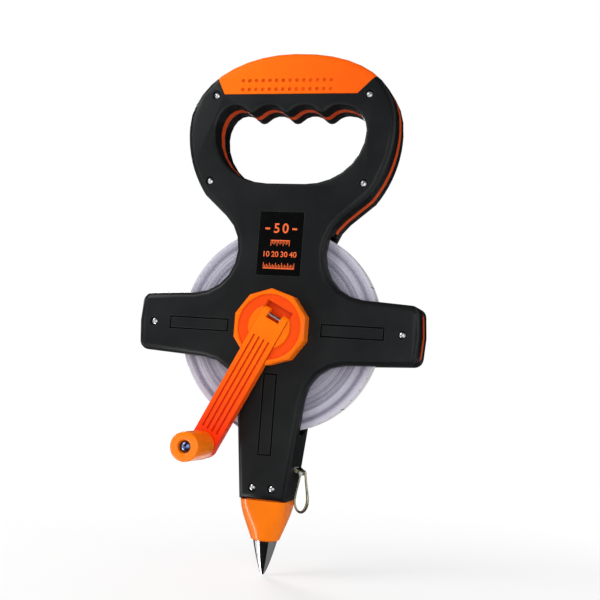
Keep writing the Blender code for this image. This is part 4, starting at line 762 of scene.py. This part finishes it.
# ======== screws
class TAPEREEL_OT_screws(bpy.types.Operator):
    """Frame screws with domed heads and cross recesses"""

    bl_idname = "tape_reel.screws"
    bl_label = "Screws"

    def execute(self, context):
        for k in range(8):
            node = f"frame_screw_{k + 1}"
            low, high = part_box(node)
            place = ((low.x + high.x) / 2, (low.z + high.z) / 2)
            turn = 0.7 * k + 0.2   # each head stopped at another angle
            mesh = self.screw(f"{node}_surface", sizes(), place, low.y, high.y, turn)
            place_piece(mesh, [zinc_plated_steel], "frame", [node], 40.0)
        return {"FINISHED"}

    def screw(self, name, s, place, top, tip, turn, segments=96):
        """A screw along +Y from its head's top level to its tip, with its cross recess turned by an angle.

        On the head the level at radius r is the dome, 0.62 of its height times (r / R)^2, or the floor of the
        recess where the point is inside one of the two crossing slots, which reach to 0.62 R; the slots' walls
        blend over a tenth of a millimetre.
        """
        head, dome, shank = s.screw_radius, s.screw_dome, 0.0014
        r = np.concatenate((np.linspace(0.02, 0.94, 26), [0.975, 1.0, 1.0]))[:, None] * head
        angle = around(segments)[None, :]
        across, along = np.abs(r * np.cos(angle - turn)), np.abs(r * np.sin(angle - turn))
        slot = np.minimum(np.maximum(across - s.cross_width / 2, along - 0.62 * head),
                          np.maximum(along - s.cross_width / 2, across - 0.62 * head))
        level = 0.62 * dome * (r / head) ** 2 + s.cross_depth * np.clip(0.5 - slot / 0.0001, 0, 1)
        level[-2:] = [[0.75 * dome], [dome]]
        body = np.array([(shank, dome), (shank, tip - top - 0.001), (0.4 * shank, tip - top)])
        points = np.concatenate((about("Y", place, r, angle, top + level),
                                 about("Y", place, body[:, :1], angle, top + body[:, 1:])))
        return make_mesh(name, points, *flipped(tube(len(r) + len(body), segments)))


# ======== nose and spike
class TAPEREEL_OT_foot(bpy.types.Operator):
    """Nose, ground spike and the nut that holds it"""

    bl_idname = "tape_reel.foot"
    bl_label = "Nose and spike"

    def execute(self, context):
        moulded("nose_cone", amber_abs_gloss, "frame", 50.0)
        moulded("spike_nut", zinc_plated_steel, "frame")
        _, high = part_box("ground_spike")
        place_piece(turned("ground_spike_surface", self.profile(high.z), (0.0, 0.0), "Z", 96),
                    [chromium_plated_steel], "frame", ["ground_spike"], 50.0)
        return {"FINISHED"}

    def profile(self, top, tip=0.0006, wide=0.0095, rise=0.0260, shank=0.0036):
        """The spike from its tip: at the share t of its height, the radius is tip + (wide - tip) t^0.72."""
        share = np.linspace(0, 1, 40) ** 1.6
        body = np.stack((tip + (wide - tip) * share ** 0.72, share * rise), axis=-1)
        return np.concatenate(([(0.00015, 0.0), (0.00045, 0.00005)], body[2:-1],
                               [(wide, rise - 0.0004), (wide - 0.0002, rise - 0.0001), (wide - 0.0005, rise),
                                (shank, rise), (shank, top)]))


# ======== tape
class TAPEREEL_OT_tape(bpy.types.Operator):
    """Tape wound on the drum, and its free end"""

    bl_idname = "tape_reel.tape"
    bl_label = "Tape"

    def execute(self, context):
        moulded("drum", black_abs_satin, "reel")
        finishes = [tape_pvc_edge, tape_pvc_face]
        place_piece(self.winding(sizes()), finishes, "reel", ["tape_core", "tape_winding"])
        place_piece(self.tail(), finishes, "frame", ["tape_tail"])
        return {"FINISHED"}

    def winding(self, s, air=0.0003, spare=0.0004):
        """A spiral from the drum outwards: at the turn n, its radius is the drum's plus n times the pitch.

        The edges of turn n stray from their level by a chance amount that three turns share, the last digits of
        a large multiple of a sine, and by two slow sines of n. So turns stick out and lie back in fine bands
        that drift a little round the pack, as wound tape does. The edges are painted with light and shade to
        match:
        lighter on turns that stick out, darker on those that lie back, and lightest on the outermost turns.
        """
        thick = (PACK_RADIUS - DRUM_RADIUS - spare) / s.turns - s.turn_gap
        n = np.linspace(0, s.turns, s.turns * s.turn_points + 1)
        angle = 2 * math.pi * n + math.radians(205)
        pitch = (PACK_RADIUS - DRUM_RADIUS - air - thick) / s.turns
        radius = DRUM_RADIUS + air + thick / 2 + n * pitch
        outward = np.stack((np.cos(angle), np.sin(angle)), axis=-1)
        turn = np.floor(n)
        bundle = np.floor((turn + 1.6 * np.sin(angle + 0.05 * turn)) / 3)
        chance = np.modf(np.abs(np.sin(bundle * 12.9898)) * 43758.5453)[0] * 2 - 1
        stray = 0.70 * chance + 0.15 * np.sin(0.37 * turn + angle) + 0.15 * np.sin(5.1 * turn)
        stray *= np.clip(s.turns - n, 0, 1) * np.clip(n, 0, 1)
        rim = np.clip((n - (s.turns - 8)) / 2, 0, 1)
        # Painted light and shade of the edges: lighter where a turn sticks out, darker where it lies back,
        # lightest outermost.
        turn_light = np.clip(0.46 - 0.50 * stray + 0.08 * np.sin(0.21 * turn) + 0.3 * rim, 0, 1.2)
        path = AXIS + outward * radius[:, None]
        middle, half = stray * s.turn_stray, TAPE_WIDTH / 2 - s.turn_stray
        return ribbon("tape_spiral", path, outward, thick, middle - half, middle + half, turn_light)

    def tail(self, points=40):
        """The free tape: straight from the pack's lower left, through the leg, into the clip."""
        start, mouth = np.array(TAIL_START), np.array(MOUTH)
        way = (mouth - start) / np.linalg.norm(mouth - start)
        path = np.linspace(start, mouth + way * TAIL_PAST, points)
        outward = np.broadcast_to([-way[1], way[0]], path.shape)
        return ribbon("tape_free_end", path, outward, TAIL_THICKNESS, -TAPE_WIDTH / 2, TAPE_WIDTH / 2,
                      np.full(points, 0.9))


class TAPEREEL_OT_tape_end(bpy.types.Operator):
    """Clip, pin and wire hook at the end of the tape"""

    bl_idname = "tape_reel.tape_end"
    bl_label = "Tape end"

    def execute(self, context):
        moulded("end_clip", nickel_plated_wire, "frame")
        moulded("hook_pin", zinc_plated_steel, "frame")
        path = self.loop()
        share = np.linspace(0, 1, len(path))   # the wire is thickest at its lower right, as a forged end is
        radii = sizes().wire_radius * (1.15 + 0.65 * np.exp(-((share - 0.47) / 0.12) ** 2))
        mesh = wire("tape_hook_surface", path, radii)
        place_piece(mesh, [nickel_plated_wire], "hook", ["tape_hook"], 180.0)
        return {"FINISHED"}

    def loop(self, eye=0.0020, half_width=0.0050, drop=0.0288, belly=0.0090):
        """The hook's line: a half circle over the pin, two straight legs and a half ellipse below."""
        x, z = HOOK_PIVOT
        low = z - drop + belly
        upper, lower = np.linspace(math.pi, 0, 25), np.linspace(0, -math.pi, 49)
        top = np.stack((x + eye * np.cos(upper), z + eye * np.sin(upper)), axis=-1)
        bottom = np.stack((x + half_width * np.cos(lower), low + belly * np.sin(lower)), axis=-1)
        share = np.linspace(0, 1, 22)[1:-1, None]
        ease = share * share * (3 - 2 * share)
        right = top[-1] + (bottom[0] - top[-1]) * np.concatenate((0.5 * (share + ease), share), axis=1)
        left = (2 * x, 0.0) + right[::-1] * (-1, 1)
        return np.concatenate((top, right, bottom, left))


# ======== crank
class TAPEREEL_OT_crank(bpy.types.Operator):
    """Crank hub, folding arm, hinge pin and hub screw"""

    bl_idname = "tape_reel.crank"
    bl_label = "Crank"

    def execute(self, context):
        hub = moulded("crank_hub", orange_abs_gloss, "reel", 25.0)
        # The hub's sunk floors get a finish painted redder and darker as shade.
        sunk = (middles(hub)[:, 1] > HUB_SUNK_Y) & (middles(hub, "normal")[:, 1] < -0.9)
        second_finish(hub, orange_abs_recess_shaded, sunk)
        for node in ("crank_hinge_pin", "hub_screw"):
            moulded(node, zinc_plated_steel, "reel")
        moulded("crank_arm", orange_abs_arm, "crank", 30.0)
        return {"FINISHED"}


class TAPEREEL_OT_knob(bpy.types.Operator):
    """Turning knob and its headed pin"""

    bl_idname = "tape_reel.knob"
    bl_label = "Knob"

    def execute(self, context):
        self.body()
        self.pin()
        return {"FINISHED"}

    def body(self, radius=0.0108, bore=0.0027, recess=0.0048, depth=0.0035):
        """The knob: a rounded cylinder with a bore, and a round recess in its front."""
        front, back = (corner.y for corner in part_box("crank_knob"))
        sink = front + depth
        outline = [(bore, back), (radius, back), (radius, front), (recess, front), (recess, sink), (bore, sink)]
        mesh = turned("crank_knob_surface", rounded_profile(outline, 0.0012), KNOB_PLACE, "Y", 96, ring=True)
        place_piece(mesh, [amber_abs_gloss], "knob", ["crank_knob"], 50.0)

    def pin(self, head=0.0041, dome=0.0014, rim=0.0006, shank=0.0022):
        """The pin with a domed head, whose dome stands 1 - (r / R)^2 of its height over its rim at radius r."""
        front, back = (corner.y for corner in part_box("knob_pin"))
        r = np.linspace(0.02, 1.0, 14) * head
        cap = np.stack((r, front + dome * (r / head) ** 2), axis=-1)
        rest = [(head, front + dome + rim), (shank, front + dome + rim), (shank, back)]
        place_piece(turned("knob_pin_surface", np.concatenate((cap, rest)), KNOB_PLACE), [blued_steel],
                    "crank", ["knob_pin"], 40.0)


class TAPEREEL_OT_axle(bpy.types.Operator):
    """Axle, its bushes, washer and end cap"""

    bl_idname = "tape_reel.axle"
    bl_label = "Axle"

    def execute(self, context):
        for node in ("axle", "axle_washer"):
            moulded(node, zinc_plated_steel, "reel")
        moulded("axle_cap", black_abs_satin, "reel")
        for node in ("front_bush", "rear_bush"):
            moulded(node, sintered_bronze, "frame")
        return {"FINISHED"}


# ======== studio
LAMPS = (   # name, place, width and height, power in watts
    ("key_light", (-0.85, -0.85, 1.00), (0.60, 0.60), 8.5),
    ("fill_light", (0.35, -1.15, 0.30), (0.60, 0.60), 3.2),
    ("back_light", (-0.80, 1.00, 0.70), (0.60, 0.60), 10.0),
    ("left_strip", (-0.87, -0.90, 0.25), (0.07, 0.80), 1.2),
    ("right_strip", (1.25, -0.36, 0.25), (0.10, 0.90), 2.4),
)
LAMP_AIM = Vector((0.0, 0.0, 0.21))
CARD_BLACK = 0.012
DOME_RADIUS = 2.2
SECTORS = (   # name, first and last degree, inner and outer radius, grey, glow
    ("front", -121, -38, 0.0005, 0.30, CARD_BLACK, 0.0),
    ("right", -38, 96, 0.0005, 0.30, 0.22, 0.0),
    ("left", 150, 180, 0.0005, 0.30, 0.05, 0.0),
    # The glowing sector is no lamp: it paints a highlight streak into the gloss of the nose and spike.
    ("bright", -143, -132, 0.0005, 0.30, 0.9, 12.0),
    ("rear", 35, 150, 0.31, 2.10, CARD_BLACK, 0.0),
)
WHITE = (1.0, 1.0, 1.0, 1.0)


class TAPEREEL_OT_studio(bpy.types.Operator):
    """Floor, lights, background and camera"""

    bl_idname = "tape_reel.studio"
    bl_label = "Studio"

    def execute(self, context):
        self.floor()
        self.world()
        self.dark_cards()
        for lamp in LAMPS:
            self.lamp(*lamp)
        self.camera()
        context.scene.view_settings.view_transform = "Standard"
        return {"FINISHED"}

    def floor(self):
        """A round floor whose white grows with the distance, so that it has no visible edge."""
        radius = np.array([0.05, 0.4, 3.0])[:, None]
        points = about("Z", (0.0, 0.0), radius, around(96)[None, :], -0.0005)
        quads, middle, _ = tube(3, 96)
        floor = linked("studio_floor", make_mesh("studio_floor", points, quads, middle))
        material = new_material("white_studio_paper", lambda *_: {
            "Base Color": tint("floor"), "Roughness": 0.9, "Specular IOR Level": 0.0})
        tree = material.node_tree
        where = tree.nodes["Texture Coordinate"].outputs["Object"]
        distance = add(tree, "VectorMath", {0: where}, operation="LENGTH").outputs["Value"]
        share = calc(tree, "MULTIPLY", spread(tree, distance, 0.50, 1.0, 0.05, 0.50), self.seen(tree))
        paper = tree.nodes["Principled BSDF"].outputs["BSDF"]
        white = add(tree, "Emission", {"Color": WHITE, "Strength": 1.0}).outputs["Emission"]
        mixed = add(tree, "MixShader", {0: share, 1: paper, 2: white}).outputs["Shader"]
        tree.links.new(mixed, tree.nodes["Material Output"].inputs["Surface"])
        floor.data.materials.append(material)

    def seen(self, tree):
        """1 for what the camera sees, directly, in a reflection or through glass."""
        rays = add(tree, "LightPath").outputs
        direct_or_glossy = calc(tree, "MAXIMUM", rays["Is Camera Ray"], rays["Is Glossy Ray"])
        return calc(tree, "MAXIMUM", direct_or_glossy, rays["Is Transmission Ray"])

    def world(self):
        """White where it is seen, and a plain level for the light that it gives."""
        world = bpy.data.worlds.new("studio_air")
        bpy.context.scene.world = world
        world.use_nodes = True
        tree = world.node_tree
        tree.nodes.clear()
        glow = spread(tree, self.seen(tree), 0.50, 1.0)
        back = add(tree, "Background", {"Color": WHITE, "Strength": glow}).outputs["Background"]
        add(tree, "OutputWorld", {"Surface": back})

    def dark_cards(self):
        """Black cards round the set that only glossy surfaces see, with the gaps between: painted dark
        reflections.

        They are cells of a dome, 5 by 10 degrees each, left out where a gap lets the white room show: on the
        left of the camera, on its right, and behind the object on the left. On the floor a black sector lies in
        front and another behind, a grey one on the right, and a dark and a glowing one on the left, which gloss
        near the floor reflects as bands: painted reflections, and from the glowing one a painted highlight.
        """
        turn, rise = np.radians(np.arange(0, 361, 5))[None, :], np.radians(np.arange(1, 92, 10))[:, None]
        points = about("Z", (0.0, 0.0), DOME_RADIUS * np.cos(rise), turn, DOME_RADIUS * np.sin(rise))
        way = np.arange(2.5, 360, 5)
        gaps = ((way > 215) & (way < 234)) | (way > 322) | (way < 15) | ((way > 125) & (way < 150))
        low = np.arange(9)[:, None] < 6
        cells = grid(rise.size, turn.size)[~(low & gaps[None, :]).ravel()]
        self.card("studio_dark_cards", points, cells[:, ::-1], CARD_BLACK, 0.0)
        for name, first, last, near, far, grey, glow in SECTORS:
            turn = np.radians(np.linspace(first, last, 20))[None, :]
            points = about("Z", (0.0, 0.0), np.array([near, far])[:, None], turn, -0.0003)
            self.card(f"studio_{name}_sector", points, grid(2, 20), grey, glow)

    def card(self, name, points, faces, grey, glow):
        """A matt card of the given grey and glow that only reflections show."""
        made = linked(name, make_mesh(name, points, faces))
        made.data.materials.append(new_material(name, lambda *_: {
            "Base Color": (grey, grey, grey, 1.0), "Roughness": 1.0, "Specular IOR Level": 0.0,
            "Emission Strength": glow}))
        made.visible_camera = made.visible_diffuse = made.visible_shadow = False

    def lamp(self, name, place, size, power):
        """A rectangular soft lamp that looks at the reel."""
        data = bpy.data.lights.new(name, "AREA")
        data.shape = "RECTANGLE"
        data.size, data.size_y = size
        data.energy = power
        made = linked(name, data)
        made.location = place
        made.rotation_euler = (LAMP_AIM - Vector(place)).to_track_quat("-Z", "Y").to_euler()

    def camera(self):
        """A 60 mm lens at azimuth 16.19 and elevation -4.65 degrees, rolled by 4.24 degrees."""
        azimuth, rise, roll = (math.radians(a) for a in (16.188, -4.652, 4.235))
        target, distance = Vector((0.013564, 0.0, 0.207498)), 0.762284
        back = Vector((math.sin(azimuth) * math.cos(rise), -math.cos(azimuth) * math.cos(rise), math.sin(rise)))
        right = (-back).cross(Vector((0, 0, 1))).normalized()
        up = right.cross(-back)
        level, tall = right * math.cos(roll) + up * math.sin(roll), up * math.cos(roll) - right * math.sin(roll)
        data = bpy.data.cameras.new("camera")
        data.lens = 60.0
        data.sensor_width = 36.0
        data.clip_start = 0.01
        made = linked("camera", data)
        turn = Matrix((level, tall, back)).transposed().to_4x4()
        made.matrix_world = Matrix.Translation(target + back * distance) @ turn
        bpy.context.scene.camera = made


# ======== add-on
OPERATORS = (
    TAPEREEL_OT_frame, TAPEREEL_OT_grip, TAPEREEL_OT_label, TAPEREEL_OT_screws, TAPEREEL_OT_foot,
    TAPEREEL_OT_tape, TAPEREEL_OT_tape_end, TAPEREEL_OT_crank, TAPEREEL_OT_knob, TAPEREEL_OT_axle,
    TAPEREEL_OT_studio,
)


class TAPEREEL_PT_panel(bpy.types.Panel):
    """Lists the reel's pieces, sizes and colours"""

    bl_label = "Tape Reel"
    bl_idname = "TAPEREEL_PT_panel"
    bl_space_type = "VIEW_3D"
    bl_region_type = "UI"
    bl_category = "Tape Reel"

    def draw(self, context):
        column = self.layout.column(align=True)
        for operator in OPERATORS:
            column.operator(operator.bl_idname)
        for group in (context.scene.reel_sizes, context.scene.reel_colours):
            column = self.layout.column()
            for name in group.bl_rna.properties.keys():
                if name not in ("rna_type", "name"):
                    column.prop(group, name)


CLASSES = (ReelColours, ReelSizes, *OPERATORS, TAPEREEL_PT_panel)


def register():
    for kind in CLASSES:
        bpy.utils.register_class(kind)
    bpy.types.Scene.reel_colours = PointerProperty(type=ReelColours)
    bpy.types.Scene.reel_sizes = PointerProperty(type=ReelSizes)


def unregister():
    del bpy.types.Scene.reel_sizes
    del bpy.types.Scene.reel_colours
    for kind in reversed(CLASSES):
        bpy.utils.unregister_class(kind)


def main():
    """Registers the add-on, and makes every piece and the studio."""
    register()
    for operator in OPERATORS:
        family, name = operator.bl_idname.split(".")
        getattr(getattr(bpy.ops, family), name)()


if __name__ == "__main__":
    main()
